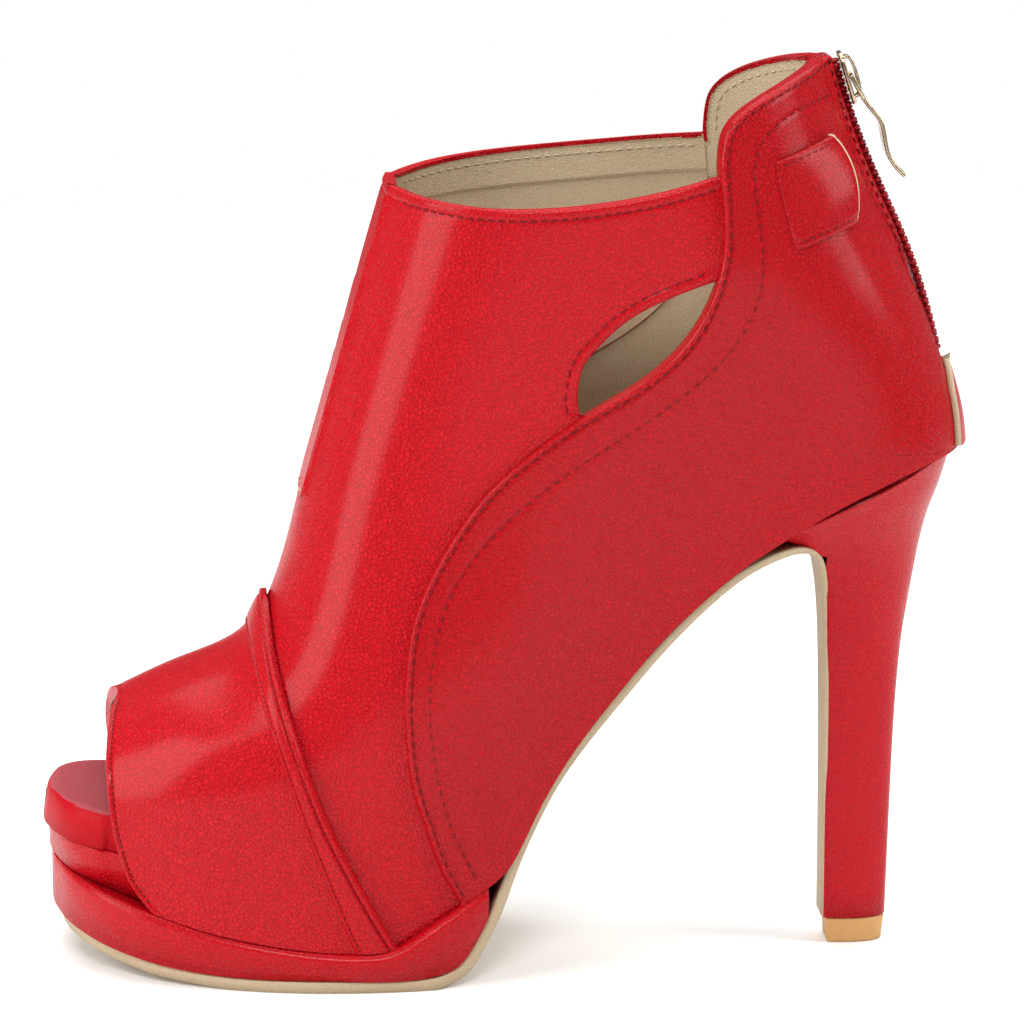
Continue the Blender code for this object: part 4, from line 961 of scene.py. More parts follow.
keeper_turns = []
across = np.concatenate([[-0.06, -0.03], np.linspace(0, 1, 26), [1.03, 1.07, 1.10]])
down = np.concatenate([[0, 0.01, 0.025, 0.045, 0.07], np.linspace(0.095, 0.905, 30), [0.93, 0.955, 0.975, 0.99, 1]])
for side, label in ((-1, "outer"), (1, "inner")):
    flat = keeper_rows(side, across, down)
    points = on_last(flat, side)
    spread = np.clip(across, 0, 1)[None, :] + 0 * down[:, None]
    edge_off = np.minimum(down, 1 - down)[:, None] * 0.0216 + 0 * spread
    lift = QUARTER_LIFT + 0.0004 + 0.0009 * np.clip(spread / 0.12, 0, 1) + 0.0026 * spread**1.6 * np.sin(np.pi * down)[:, None]**0.5
    lift += 0.8 * fold(edge_off, 0.0009) + pressed(edge_off, 0.0017, 0.0002)
    lift = np.where(across[None, :] < 0, QUARTER_LIFT - 0.0006, lift)
    lift = lift - 0.0013 * np.clip((across[None, :] - 1) / 0.10, 0, 1)
    bm = skin(points, lift)
    bm.faces.ensure_lookup_table()
    for face in bm.faces:
        numbers = [vert.index % len(across) for vert in face.verts]
        face.material_index = int(min(numbers) >= len(across) - 4)
    keeper = add_piece("keeper_loop_" + label, bm, [shaded_quarter_calf, lining_calf])
    sheet = keeper.modifiers.new("thickness", "SOLIDIFY")
    sheet.thickness, sheet.offset = 0.0011, -1
    sheet.material_offset, sheet.material_offset_rim = 1, 1
    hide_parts("keeper_" + label)
    for share in (0.075, 0.925):
        line = keeper_rows(side, np.linspace(0.06, 0.96, 40), np.array([share]))[0]
        out = facing(line, side)
        rise = QUARTER_LIFT + 0.0013 + 0.0022 * np.linspace(0.06, 0.96, 40)**1.6 * np.sin(np.pi * share)**0.5
        keeper_turns += stitch_row(on_last(line, side) + out * rise[:, None], out, pitch=0.0022, length=0.0015)
stitches("keeper_stitches", keeper_turns, red_thread)

# Counter tab: a patch of thick calf over the foot of the zip, cut raw, so that its pale
# flesh side shows all round. It is stitched down close to its edge; these stitches are not drawn.
COUNTER_TAB = [(0.280, 0.960), (0.275, 1.010), (0.240, 1.090), (0.170, 1.165), (0.080, 1.210)]


def back_point(y, z):
    """Points of the last near its back line, at widths and heights."""
    start = np.interp(z, back_path[:, 1], back_path[:, 0])
    low, high = start - 0.030, start.copy()
    for _ in range(26):
        x = (low + high) / 2
        wide = half_width(x, z)
        low, high = np.where(wide > np.abs(y), x, low), np.where(wide > np.abs(y), high, x)
    return np.stack([(low + high) / 2, y, z], axis=-1)


tab_half = column_spline([(b, a) for a, b in COUNTER_TAB])
heights = np.linspace(1.004, 1.200, 40)
across = np.linspace(-1, 1, 49)
round_off = np.sqrt(np.clip(1 - ((heights - 1.10) / 0.112).clip(0, 1)**4, 0.02, 1))
y = half(tab_half(heights) * round_off)[:, None] * across
z = np.broadcast_to(up(heights)[:, None], y.shape)
tab_points = back_point(y.ravel(), z.ravel()).reshape(y.shape + (3,))
counter = add_piece("counter_patch", skin(tab_points, np.full(y.shape, QUARTER_LIFT + 0.0016)), [red_calf, lining_calf])
sheet = counter.modifiers.new("thickness", "SOLIDIFY")
sheet.thickness, sheet.offset = 0.0015, -1
sheet.material_offset, sheet.material_offset_rim = 1, 1
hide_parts("counter_tab")

# Zip: a woven red tape behind a moulded coil, sewn between the rear edges of the
# quarters. It is shut, and its coil stands up between the two folded edges.
TAPE_HALF = 0.0034
tape_heights = up(np.linspace(1.19, 1.985, 140))
across = np.linspace(-1, 1, 13)
y = np.broadcast_to(TAPE_HALF * across, (140, 13))
z = np.broadcast_to(tape_heights[:, None], y.shape)
tape_points = back_point(y.ravel(), z.ravel()).reshape(y.shape + (3,))


def cloth(name, colour):
    """Woven tape: fine ribs along and across."""
    finish = bpy.data.materials.new(name)
    finish.use_nodes = True
    tree = finish.node_tree
    shader = tree.nodes["Principled BSDF"]
    shader.inputs["Sheen Weight"].default_value = 0.4
    shader.inputs["Roughness"].default_value = 0.8
    place = tree.nodes.new("ShaderNodeTexCoord")
    ribs = tree.nodes.new("ShaderNodeTexWave")
    ribs.bands_direction = "Z"
    ribs.inputs["Scale"].default_value = 700
    ribs.inputs["Distortion"].default_value = 1.5
    tint = tree.nodes.new("ShaderNodeMix")
    tint.data_type = "RGBA"
    tint.inputs["A"].default_value = (*[0.45 * c for c in colour], 1)
    tint.inputs["B"].default_value = (*colour, 1)
    bump = tree.nodes.new("ShaderNodeBump")
    bump.inputs["Distance"].default_value = 0.00015
    links(
        tree,
        (place.outputs["Object"], ribs.inputs["Vector"]),
        (ribs.outputs["Fac"], tint.inputs["Factor"]),
        (tint.outputs["Result"], shader.inputs["Base Color"]),
        (ribs.outputs["Fac"], bump.inputs["Height"]),
        (bump.outputs["Normal"], shader.inputs["Normal"]),
    )
    return finish


red_tape = cloth("red_tape", (0.33, 0.006, 0.012))
tape = add_piece("zip_tape_cloth", skin(tape_points, np.full(y.shape, 0.0002)), [red_tape])
sheet = tape.modifiers.new("thickness", "SOLIDIFY")
sheet.thickness, sheet.offset = 0.0012, -1
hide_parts("zip_tape")
coil_finish = leather("red_coil", (0.34, 0.005, 0.010), (0.16, 0.002, 0.004), 0.32, 2500, 0.00003, 0.2)
coil_line = back_path[(back_path[:, 1] > up(1.225)) & (back_path[:, 1] < up(1.98))]
reach = lengths_along(coil_line)
teeth = []
for number in range(int(reach[-1] / 0.00095)):
    place = [float(np.interp((number + 0.5) * 0.00095, reach, coil_line[:, i])) for i in (0, 1)]
    ahead = [float(np.interp((number + 0.5) * 0.00095 + 0.0005, reach, coil_line[:, i])) for i in (0, 1)]
    run = Vector((ahead[0] - place[0], 0, ahead[1] - place[1])).normalized()
    out = Vector((run.z, 0, -run.x))
    turn = Matrix((out, Vector((0, 1, 0)), run)).transposed().to_4x4()
    wide = number % 2 * 2 - 1
    at = Vector((place[0], wide * 0.0005, place[1])) + out * 0.0009
    teeth.append(Matrix.Translation(at) @ turn @ Matrix.Diagonal((0.0011, 0.0016, 0.00062, 1)))
bm = bmesh.new()
bmesh.ops.create_uvsphere(bm, u_segments=10, v_segments=8, radius=1)
repeated(bm, teeth)
coil = add_piece("zip_coil", bm, [coil_finish])
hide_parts("zip_chain")

# Slider and pull: cast metal with a pale gold finish. The bail is cast on the slider's
# plate, and the thin wavy pull hangs on it and swings.
SLIDER_DROP, SLIDER_STAND = 0.0074, 0.0021


def brushed_gold():
    """Pale gold plating: soft polish marks and slightly duller patches."""
    finish = bpy.data.materials.new("pale_gold")
    finish.use_nodes = True
    tree = finish.node_tree
    shader = tree.nodes["Principled BSDF"]
    shader.inputs["Metallic"].default_value = 1.0
    place = tree.nodes.new("ShaderNodeTexCoord")
    marks = tree.nodes.new("ShaderNodeTexNoise")
    marks.inputs["Scale"].default_value = 900
    marks.inputs["Detail"].default_value = 4
    tint = tree.nodes.new("ShaderNodeMix")
    tint.data_type = "RGBA"
    tint.inputs["A"].default_value = (0.40, 0.31, 0.19, 1)
    tint.inputs["B"].default_value = (0.66, 0.55, 0.38, 1)
    rough = tree.nodes.new("ShaderNodeMapRange")
    rough.inputs["To Min"].default_value = 0.16
    rough.inputs["To Max"].default_value = 0.34
    bump = tree.nodes.new("ShaderNodeBump")
    bump.inputs["Distance"].default_value = 0.00002
    links(
        tree,
        (place.outputs["Object"], marks.inputs["Vector"]),
        (marks.outputs["Fac"], tint.inputs["Factor"]),
        (tint.outputs["Result"], shader.inputs["Base Color"]),
        (marks.outputs["Fac"], rough.inputs["Value"]),
        (rough.outputs["Result"], shader.inputs["Roughness"]),
        (marks.outputs["Fac"], bump.inputs["Height"]),
        (bump.outputs["Normal"], shader.inputs["Normal"]),
    )
    return finish


pale_gold = brushed_gold()


def zip_frame(drop, stand):
    """Place on the back line below its top: X points out, Z up along the zip."""
    reach = lengths_along(back_path)
    at_top = np.interp(float(up(2.0)), back_path[:, 1], reach)
    place = [np.interp(at_top - drop, reach, back_path[:, i]) for i in (0, 1)]
    ahead = [np.interp(at_top - drop + 0.001, reach, back_path[:, i]) for i in (0, 1)]
    upward = Vector((ahead[0] - place[0], 0, ahead[1] - place[1])).normalized()
    outward = Vector((upward.z, 0, -upward.x))
    turn = Matrix((outward, Vector((0, 1, 0)), upward)).transposed().to_4x4()
    return Matrix.Translation(Vector((place[0], 0, place[1])) + outward * stand) @ turn


def bent_bar(centre_line, width, thick, segments=3):
    """A flat bar along a line in X and Z, with rounded edges."""
    line = np.asarray(centre_line, float)
    runs = np.gradient(line, axis=0)
    runs /= np.linalg.norm(runs, axis=1)[:, None]
    out = np.stack([runs[:, 1], -runs[:, 0]], axis=-1)
    bm = bmesh.new()
    bmesh.ops.create_grid(bm, x_segments=4, y_segments=len(line) - 1, size=1)
    corner = [(-1, -1), (1, -1), (1, 1), (-1, 1), (-1, -1)]
    for number, vert in enumerate(bm.verts):
        (x, z), (a, b) = line[number // 5], out[number // 5]
        y, side = corner[number % 5]
        vert.co = (x + a * side * thick / 2, y * width / 2, z + b * side * thick / 2)
    bmesh.ops.remove_doubles(bm, verts=bm.verts, dist=1e-6)
    bmesh.ops.holes_fill(bm, edges=[e for e in bm.edges if e.is_boundary], sides=0)
    bmesh.ops.recalc_face_normals(bm, faces=bm.faces)
    sharp = [e for e in bm.edges if len(e.link_faces) == 2 and e.calc_face_angle(0) > 0.9]
    bmesh.ops.bevel(bm, geom=sharp, offset=thick * 0.32, segments=segments, profile=0.5, affect="EDGES", material=-1, clamp_overlap=True)
    return bm


slider_frame = zip_frame(SLIDER_DROP, SLIDER_STAND)
bm = bmesh.new()
bmesh.ops.create_cube(bm, size=1, matrix=Matrix.Translation((0.00045, 0, 0)) @ Matrix.Diagonal((0.0009, 0.0082, 0.0125, 1)))
upright = [e for e in bm.edges if abs(e.verts[0].co.x - e.verts[1].co.x) > 0.0005]
bmesh.ops.bevel(bm, geom=upright, offset=0.0026, segments=6, profile=0.5, affect="EDGES", material=-1)
rest = [e for e in bm.edges if e.calc_face_angle(0) > 0.6]
bmesh.ops.bevel(bm, geom=rest, offset=0.00026, segments=3, profile=0.5, affect="EDGES", material=-1)
bmesh.ops.transform(bm, matrix=slider_frame, verts=bm.verts)
slider_plate = add_piece("slider_plate", bm, [pale_gold])
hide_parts("zip_slider")
bail_line = []
for angle in np.linspace(0, np.pi, 41):
    over = -np.cos(angle)
    bail_line.append((0.00045 + 0.0024 * np.sin(angle)**0.45, 0.0048 * np.sign(over) * abs(over)**0.8))
bm = bent_bar(bail_line, 0.0026, 0.0007)
bmesh.ops.transform(bm, matrix=slider_frame, verts=bm.verts)
bail = add_piece("slider_bail", bm, [pale_gold])

PULL_LENGTH, PULL_WIDTH, PULL_WALL, PULL_LEAN, PULL_WAVE = 0.0262, 0.0056, 0.0009, 0.20, 0.0011
EYE_REACH = 0.0057
pull_line = []
for down in np.linspace(-PULL_WALL / 2, PULL_LENGTH, 80):
    share = max(down - EYE_REACH, 0) / (PULL_LENGTH - EYE_REACH)
    pull_line.append((PULL_WAVE * np.sin(2 * np.pi * share) * min(3 * share, 1), -down))
hinge = zip_frame(SLIDER_DROP, SLIDER_STAND + 0.0009 + 0.0003 + PULL_WALL / 2) @ Matrix.Rotation(-PULL_LEAN, 4, "Y")
bar_line = [place for place in pull_line if -place[1] >= EYE_REACH]
bm = bent_bar(bar_line, PULL_WIDTH, PULL_WALL)
bmesh.ops.transform(bm, matrix=hinge, verts=bm.verts)
pull_bar = add_piece("pull_bar", bm, [pale_gold], body="pull")
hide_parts("zip_pull")
bm = bmesh.new()
cheek = (PULL_WIDTH - 0.0026 - 0.0012) / 4
for y in (-1, 1):
    size = Matrix.Diagonal((PULL_WALL, 2 * cheek, EYE_REACH + 0.0007, 1))
    at = Matrix.Translation((0, y * (PULL_WIDTH / 2 - cheek), -(EYE_REACH - 0.0005) / 2))
    bmesh.ops.create_cube(bm, size=1, matrix=at @ size)
bmesh.ops.create_cube(bm, size=1, matrix=Matrix.Translation((0, 0, 0)) @ Matrix.Diagonal((PULL_WALL, PULL_WIDTH - 0.0004, PULL_WALL, 1)))
bmesh.ops.bevel(bm, geom=bm.edges[:], offset=0.00022, segments=3, profile=0.5, affect="EDGES", material=-1)
bmesh.ops.transform(bm, matrix=hinge, verts=bm.verts)
pull_eye = add_piece("pull_eye", bm, [pale_gold], body="pull")

# Insole: the thick padded front of it shows in the peep toe. It is covered in matt red
# suede-like calf, glued down, and its edge is softly rounded.
UPPER_START, SEAT_GAP, GAP = 0.068, 0.0005, 0.0003
SOLE = 0.0028
OUTSOLE = [
    (0.0200, 0.0620, 0.030, 1.00), (0.0215, 0.0605, 0.120, 1.00), (0.0245, 0.0585, 0.205, 1.00),
    (0.030, 0.055, 0.300, 1.00), (0.039, 0.050, 0.400, 1.00), (0.053, 0.042, 0.520, 1.00),
    (0.075, 0.032, 0.645, 1.00), (0.100, 0.022, 0.735, 1.00), (0.123, 0.015, 0.800, 1.00),
    (0.179, 0.004, 0.885, 1.00), (0.245, 0.000, 0.950, 1.00), (0.320, 0.000, 0.972, 1.00),
    (0.404, 0.000, 0.935, 1.00), (0.432, 0.007, 0.895, 1.00), (0.453, 0.023, 0.845, 1.00),
    (0.470, 0.060, 0.800, 0.96), (0.483, 0.100, 0.765, 0.93), (0.494, 0.139, 0.740, 0.93),
    (0.511, 0.218, 0.705, 0.90), (0.531, 0.297, 0.675, 0.90), (0.555, 0.376, 0.645, 0.90),
    (0.587, 0.455, 0.615, 0.86), (0.623, 0.532, 0.592, 0.82), (0.660, 0.610, 0.580, 0.80),
    (0.701, 0.687, 0.573, 0.76), (0.750, 0.764, 0.575, 0.72), (0.788, 0.802, 0.572, 0.66),
    (0.812, 0.814, 0.540, 0.58), (0.829, 0.808, 0.470, 0.50), (0.840, 0.786, 0.385, 0.46),
    (0.846, 0.745, 0.300, 0.46), (0.850, 0.680, 0.220, 0.46), (0.852, 0.560, 0.158, 0.46),
    (0.853, 0.330, 0.124, 0.46), (0.853, 0.056, 0.116, 0.46),
]
RIM_PLAN = [
    (0.0090, 0.030), (0.0105, 0.125), (0.0135, 0.212), (0.019, 0.310), (0.028, 0.430),
    (0.042, 0.550), (0.064, 0.680), (0.090, 0.775), (0.120, 0.845), (0.160, 0.900),
    (0.200, 0.938), (0.245, 0.970), (0.290, 0.990), (0.335, 1.000), (0.375, 0.990),
    (0.410, 0.955), (0.440, 0.905), (0.460, 0.865), (0.478, 0.820),
]
BED_PLAN = [
    (0.0002, 0.030), (0.0015, 0.118), (0.0045, 0.208), (0.010, 0.306), (0.019, 0.420),
    (0.036, 0.535), (0.058, 0.610), (0.080, 0.660), (0.112, 0.730), (0.160, 0.900),
]
BED = [
    (0.000, 0.262), (0.067, 0.247), (0.114, 0.235), (0.184, 0.214), (0.254, 0.196),
    (0.348, 0.184), (0.404, 0.190), (0.442, 0.208), (0.479, 0.246), (0.503, 0.288),
    (0.526, 0.348), (0.554, 0.428), (0.587, 0.508), (0.620, 0.578), (0.662, 0.664),
    (0.704, 0.736), (0.746, 0.798), (0.788, 0.849), (0.830, 0.895), (0.873, 0.937),
    (0.915, 0.973), (0.957, 0.998), (0.982, 1.010),
]
BED_STATIONS = [
    0.0002, 0.0015, 0.0045, 0.010, 0.019, 0.036, 0.058, 0.080, 0.112, 0.150, 0.190, 0.240,
    0.290, 0.348, 0.404, 0.442, 0.479, 0.503, 0.526, 0.554, 0.587, 0.620, 0.662, 0.704,
    0.746, 0.788, 0.830, 0.873, 0.910, 0.940, 0.960, 0.973, 0.980,
]
MIDDLE_STATIONS = [
    0.0065, 0.008, 0.011, 0.0165, 0.026, 0.045, 0.070, 0.100, 0.130, 0.160, 0.200, 0.250,
    0.300, 0.350, 0.400, 0.430, 0.455,
]


def slab_ring(bottom, top, half_bottom, half_top, soft, middle, arc=9):
    """A cross section of a sole layer: flat below, with rounded upper edges."""
    bottom, top = np.asarray(bottom, float), np.asarray(top, float)
    soft_share = min(soft / np.linalg.norm(top - bottom), 1)
    angles = np.linspace(0, np.pi / 2, arc + 1)
    across = half_top - soft * (1 - np.cos(angles))
    shares = 1 - soft_share * (1 - np.sin(angles))
    inner = across[-1] * np.linspace(1, -1, 12)[1:-1]
    low = half_bottom * np.linspace(-1, 1, 12)[1:-1]
    across = np.concatenate([[half_bottom], across, inner, -across[::-1], [-half_bottom], low])
    shares = np.concatenate([[0], shares, np.ones(10), shares[::-1], [0], np.zeros(10)])
    place = bottom + (top - bottom) * shares[:, None]
    return np.stack([place[:, 0], middle + across, place[:, 1]], axis=-1)


def normals_up(path):
    """Unit normals of a side-view path, on its left."""
    runs = np.gradient(path, axis=0)
    runs /= np.linalg.norm(runs, axis=1)[:, None]
    return np.stack([-runs[:, 1], runs[:, 0]], axis=-1)


def finer(stations, times=4):
    """More stations between the given ones, spread as smoothly as they are."""
    stations = np.asarray(stations, float)
    reach = np.arange(len(stations))
    fine = np.linspace(0, len(stations) - 1, times * (len(stations) - 1) + 1)
    if stations.ndim == 1:
        return spline(reach, stations)(fine)
    return np.stack([spline(reach, column)(fine) for column in stations.T], axis=-1)


def layer(rings):
    """A closed layer through equal rings."""
    points = np.array([np.concatenate([ring, ring[:1]]) for ring in rings])
    bm = bmesh.new()
    bmesh.ops.create_grid(bm, x_segments=points.shape[1] - 1, y_segments=len(points) - 1, size=1)
    for vert, place in zip(bm.verts, points.reshape(-1, 3)):
        vert.co = place
    bmesh.ops.remove_doubles(bm, verts=bm.verts, dist=1e-7)
    bmesh.ops.holes_fill(bm, edges=[e for e in bm.edges if e.is_boundary], sides=0)
    bmesh.ops.recalc_face_normals(bm, faces=bm.faces)
    return bm


def inside_half(x, z):
    """Half width inside the upper's wall, measured square to the outline."""
    inset = WALL + SEAT_GAP
    turns = np.linspace(0, np.pi, 13)
    around = x + inset * np.cos(turns)
    return float(np.min(half_width(around, np.full(13, z)) - inset * np.sin(turns)))


insole_calf = leather("insole_suede", (0.38, 0.075, 0.085), (0.32, 0.055, 0.065), 0.80, 2600, 0.00012, 0.0)
insole_side = leather("insole_side", (0.42, 0.002, 0.008), (0.36, 0.0015, 0.006), 0.5, 2200, 0.00010, 0.05)
plan = column_spline(BED_PLAN)
stations = finer(BED_STATIONS)
stations[0] = BED_STATIONS[0]
line = np.stack([along(stations), up(column_spline(BED)(stations))], axis=-1)
rings = []
for share, (x, z), normal in zip(stations, line, normals_up(line)):
    to_waist = min(max((share - 0.35) / 0.25, 0), 1)
    thick = 0.0088 + (0.0032 - 0.0088) * to_waist**0.7
    from_tip = min(x - float(along(stations[0])), 0.0030)
    thick -= 0.0030 - np.sqrt(0.0030**2 - (0.0030 - from_tip)**2)
    top = (x + normal[0] * thick, z + normal[1] * thick)
    low_half = top_half = float(half(plan(share)))
    soft = 0.0030
    if share > UPPER_START:
        low_half = min(low_half, inside_half(x, z) - 0.0006)
        top_half = min(top_half, inside_half(*top) - 0.0006)
        soft = min(0.0030, thick * 0.3)
    rings.append(slab_ring((x, z), top, low_half, top_half, soft, float(centre(x))))
bm = layer(rings)
for face in bm.faces:
    face.material_index = int(face.normal.z < 0.75)
insole = add_piece("insole_cover", bm, [insole_calf, insole_side])
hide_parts("insole")

# Platform: a recessed middle layer and, below it, a rim that stands out all round, both
# of light board wrapped in the red calf and glued together.
platform_calf = leather("platform_calf", (0.47, 0.002, 0.008), (0.39, 0.0015, 0.006), 0.36, 1500, 0.00030, 0.22)
bed_at = column_spline(BED)
rings = []
for share in finer(MIDDLE_STATIONS):
    x = float(along(share))
    low, high = float(up(feather_height(share))), float(up(bed_at(share))) - GAP
    top_half = float(half(plan(share - 0.0062)))
    low_half = max(top_half - 0.0022, top_half / 2)
    if share > UPPER_START:
        top_half = min(top_half, inside_half(x, high) - 0.0006)
        low_half = min(low_half, inside_half(x, low) - 0.0006)
    rings.append(slab_ring((x, low), (x, high), low_half, top_half, 0.0006, float(centre(x))))
middle = add_piece("platform_middle_wrap", layer(rings), [platform_calf])
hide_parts("platform_middle")

sole_rows = np.asarray(OUTSOLE, float)
sole_line = side_points(sole_rows[:, :2])
sole_ups = normals_up(sole_line)
sole_ups[:13] = (0, 1)
sole_tops = sole_line + sole_ups * (SOLE * sole_rows[:, 3:4])
top_of_sole = spline(sole_tops[:23, 0], sole_tops[:23, 1])
half_at = column_spline(RIM_PLAN)
rings = []
for share in finer([row[0] for row in RIM_PLAN]):
    x = float(along(share))
    low = float(top_of_sole(x)) + GAP
    high = max(float(up(feather_height(share))) - SEAT_GAP, low + 0.0008)
    wide = float(half(half_at(share)))
    soft = min(0.0022, (high - low) * 0.6)
    rings.append(slab_ring((x, low), (x, high), wide - 0.0010, wide, soft, float(centre(x))))
rim = add_piece("platform_rim_wrap", layer(rings), [platform_calf])
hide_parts("platform_rim")

# Outsole: thin pale sole leather, flat under the ball, bent up the waist and down the
# breast of the heel. Its edge is trimmed and waxed.
sole_leather = leather("outsole_leather", (0.50, 0.39, 0.26), (0.44, 0.34, 0.22), 0.55, 2600, 0.00008, 0.05)
rows = finer(sole_rows, 3)
rows[:, 1] = np.maximum(rows[:, 1], 0)
line = side_points(rows[:, :2])
ups = normals_up(line)
ups[:37] = (0, 1)
rings = []
for (x, z), normal, half_share, thick_share in zip(line, ups, rows[:, 2], rows[:, 3]):
    thick = SOLE * thick_share
    wide = float(half(half_share))
    top = (x + normal[0] * thick, z + normal[1] * thick)
    rings.append(slab_ring((x, z), top, wide * 0.985, wide, thick * 0.2, float(centre(x)), 4))
sole = add_piece("outsole_leather_sole", layer(rings), [sole_leather])
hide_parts("outsole")

# Heel: a slim moulded stiletto wrapped in one piece of the red calf, with a small tan
# top piece of hard rubber pinned under it.
HEEL = [
    (0.858, 0.000, 0.926, 0.000, 0.137), (0.858, 0.295, 0.931, 0.295, 0.142),
    (0.858, 0.472, 0.935, 0.467, 0.162), (0.857, 0.578, 0.940, 0.584, 0.200),
    (0.856, 0.645, 0.946, 0.662, 0.245), (0.852, 0.715, 0.954, 0.755, 0.316),
    (0.845, 0.764, 0.965, 0.851, 0.412), (0.832, 0.795, 0.978, 0.921, 0.500),
    (0.815, 0.821, 0.986, 0.974, 0.580), (0.795, 0.842, 0.990, 1.011, 0.620),
]
HEEL_SECTION = [(0.0, 0.74), (0.02, 0.86), (0.20, 0.96), (0.42, 1.0)]
TOP_PIECE = 0.0060
heel_calf = leather("heel_calf", (0.47, 0.002, 0.008), (0.40, 0.0015, 0.006), 0.36, 1500, 0.00030, 0.22)


def heel_height(share):
    foot = TOP_PIECE + GAP
    return foot + share * (HEEL_RISE - foot)


def heel_ring(front, back, half_wide, sides=9):
    """A D-shaped section with its flat side to the front."""
    front, back = np.asarray(front, float), np.asarray(back, float)
    shares = spline([0, 1, 2, 3], [row[0] for row in HEEL_SECTION])(np.linspace(0, 3, 10))
    wides = spline([0, 1, 2, 3], [row[1] for row in HEEL_SECTION])(np.linspace(0, 3, 10))
    angles = np.linspace(0, np.pi / 2, sides + 1)[1:]
    shares = np.concatenate([shares, 0.42 + 0.58 * np.sin(angles)])
    wides = np.concatenate([wides, np.maximum(np.cos(angles), 0)**0.9])
    place = front + (back - front) * shares[:, None]
    one = np.stack([place[:, 0], wides * half_wide, place[:, 1]], axis=-1)
    one[-1, 1] = 0
    return np.concatenate([one, one[-2::-1] * (1, -1, 1)])


rings = []
for front_x, front_z, back_x, back_z, wide in finer(HEEL, 6):
    front = np.array([float(along(front_x)) - 0.0007, heel_height(front_z)])
    back = np.array([float(along(back_x)), heel_height(back_z)])
    rings.append(heel_ring(front, back, float(half(wide))))
bm = layer(rings)
inner_face = sole_line[21:] + normals_up(sole_line[21:]) * (SOLE * sole_rows[21:, 3:4] - 0.0007)
for vert in bm.verts:
    seat = float(up(feather_height(share_along(vert.co.x)))) + 0.0012
    flare = float(smooth_step((vert.co.z - seat + 0.007) / 0.007))
    vert.co.y *= 1 + 0.09 * flare
    if vert.co.z > seat:
        vert.co.z = seat
    face_x = float(np.interp(vert.co.z, inner_face[9:, 1][::-1], inner_face[9:, 0][::-1]))
    if vert.co.x < face_x and vert.co.z < up(0.80):
        vert.co.x = face_x
heel = add_piece("heel_wrap", bm, [heel_calf])
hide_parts("heel")


def hard_rubber(name, colour):
    """Moulded rubber: slightly scuffed, with faint specks."""
    finish = bpy.data.materials.new(name)
    finish.use_nodes = True
    tree = finish.node_tree
    shader = tree.nodes["Principled BSDF"]
    place = tree.nodes.new("ShaderNodeTexCoord")
    specks = tree.nodes.new("ShaderNodeTexNoise")
    specks.inputs["Scale"].default_value = 1400
    specks.inputs["Detail"].default_value = 3
    tint = tree.nodes.new("ShaderNodeMix")
    tint.data_type = "RGBA"
    tint.inputs["A"].default_value = (*[0.7 * c for c in colour], 1)
    tint.inputs["B"].default_value = (*colour, 1)
    rough = tree.nodes.new("ShaderNodeMapRange")
    rough.inputs["To Min"].default_value = 0.38
    rough.inputs["To Max"].default_value = 0.60
    bump = tree.nodes.new("ShaderNodeBump")
    bump.inputs["Distance"].default_value = 0.00004
    links(
        tree,
        (place.outputs["Object"], specks.inputs["Vector"]),
        (specks.outputs["Fac"], tint.inputs["Factor"]),
        (tint.outputs["Result"], shader.inputs["Base Color"]),
        (specks.outputs["Fac"], rough.inputs["Value"]),
        (rough.outputs["Result"], shader.inputs["Roughness"]),
        (specks.outputs["Fac"], bump.inputs["Height"]),
        (bump.outputs["Normal"], shader.inputs["Normal"]),
    )
    return finish


tan_rubber = hard_rubber("tan_rubber", (0.62, 0.33, 0.11))
front_x, back_x = float(along(0.858)) + 0.0002, float(along(0.926)) - 0.0002
wide = float(half(0.137)) - 0.0002
rings = []
for z, inset in ((0.0, 0.0011), (0.00015, 0.0008), (0.0004, 0.0006), (0.0009, 0.0005), (0.003, 0.0003), (0.0055, 0.0), (0.0060, 0.0001)):
    rings.append(heel_ring((front_x + inset * 0.5, z), (back_x - inset, z), wide - inset))
tip = add_piece("top_piece_rubber", layer(rings), [tan_rubber])
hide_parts("top_piece")

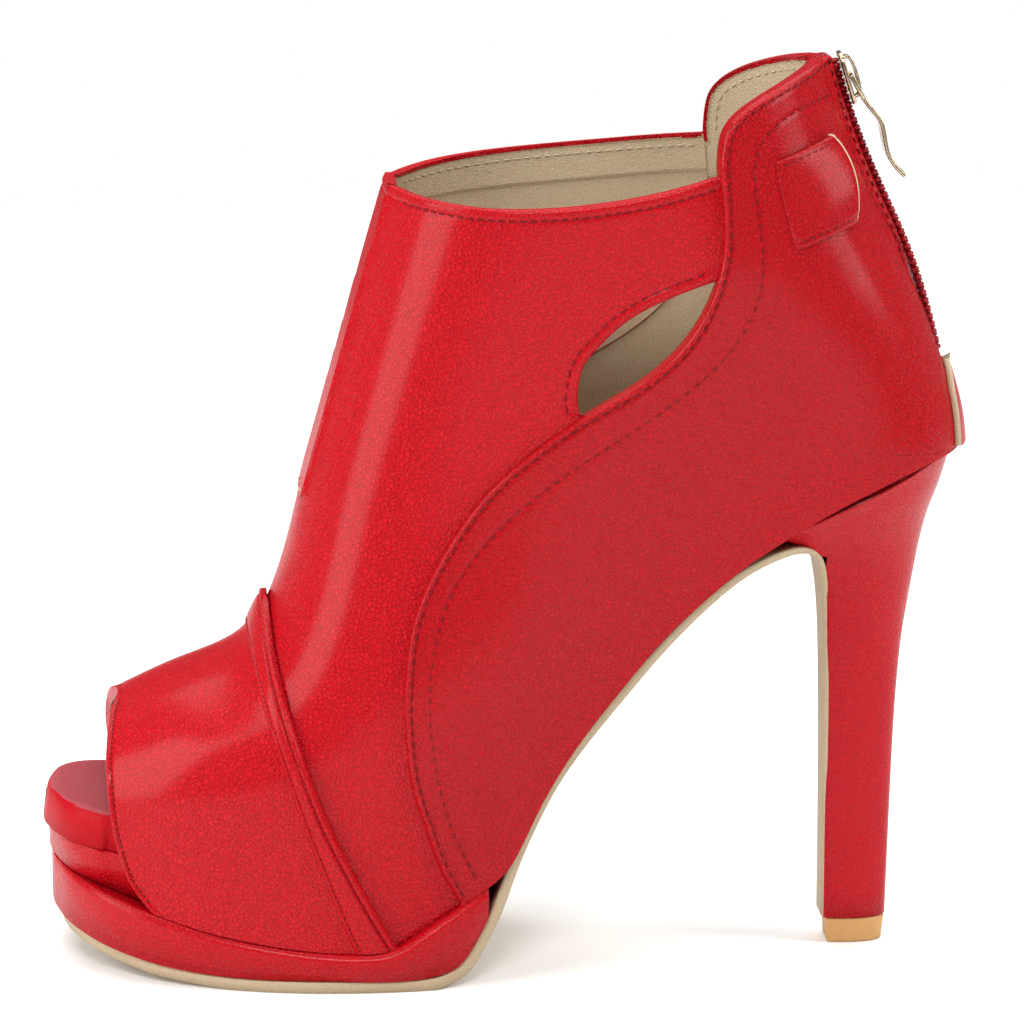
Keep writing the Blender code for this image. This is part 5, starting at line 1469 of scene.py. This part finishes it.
# Stage: a pale floor, soft lights and the camera at the photograph's angle.
floor_mesh = bmesh.new()
bmesh.ops.create_grid(floor_mesh, x_segments=1, y_segments=1, size=1.0)
floor = bpy.data.meshes.new("pale_floor")
floor_mesh.to_mesh(floor)
floor_mesh.free()
pale_floor = bpy.data.objects.new("pale_floor", floor)
bpy.context.scene.collection.objects.link(pale_floor)
paper = bpy.data.materials.new("white_paper")
paper.use_nodes = True
paper.node_tree.nodes["Principled BSDF"].inputs["Base Color"].default_value = (0.93, 0.93, 0.93, 1)
paper.node_tree.nodes["Principled BSDF"].inputs["Roughness"].default_value = 0.9
floor.materials.append(paper)


def soft_light(name, place, aim, size, power, colour=(1, 1, 1)):
    """A softbox that faces a point of the boot."""
    lamp = bpy.data.lights.new(name, "AREA")
    lamp.shape = "RECTANGLE"
    lamp.size, lamp.size_y = size
    lamp.energy = power
    lamp.color = colour
    light = bpy.data.objects.new(name, lamp)
    light.location = place
    light.rotation_euler = (Vector(aim) - Vector(place)).to_track_quat("-Z", "Y").to_euler()
    bpy.context.scene.collection.objects.link(light)


soft_light("window_left", (-1.25, -0.45, 0.62), (0, 0, 0.09), (0.8, 1.2), 18)
soft_light("softbox_front", (-0.15, -1.15, 1.05), (0.0, 0, 0.08), (0.5, 0.3), 9)
soft_light("softbox_rear", (0.95, -0.25, 0.65), (0.08, 0, 0.14), (0.4, 0.7), 7)
soft_light("overhead", (0.0, 0.5, 1.5), (0, 0.3, 0), (2.0, 2.0), 38)
world = bpy.data.worlds.new("white_room")
bpy.context.scene.world = world
world.use_nodes = True
room = world.node_tree
far_wall = room.nodes["Background"]
far_wall.inputs["Color"].default_value = (1, 1, 1, 1)
far_wall.inputs["Strength"].default_value = 1.0
dim_wall = room.nodes.new("ShaderNodeBackground")
dim_wall.inputs["Color"].default_value = (1, 1, 1, 1)
dim_wall.inputs["Strength"].default_value = 0.12
seen = room.nodes.new("ShaderNodeLightPath")
choice = room.nodes.new("ShaderNodeMixShader")
links(
    room,
    (seen.outputs["Is Camera Ray"], choice.inputs[0]),
    (dim_wall.outputs[0], choice.inputs[1]),
    (far_wall.outputs[0], choice.inputs[2]),
    (choice.outputs[0], room.nodes["World Output"].inputs["Surface"]),
)
bpy.context.scene.view_settings.view_transform = "Standard"
camera = bpy.data.cameras.new("camera")
camera.lens, camera.sensor_width = 212.5, 36
camera.clip_end = 20
eye = bpy.data.objects.new("camera", camera)
eye.location = (-0.05987, -1.36080, 0.41925)
eye.rotation_euler = np.radians((77, 0, -4))
bpy.context.scene.collection.objects.link(eye)
bpy.context.scene.camera = eye
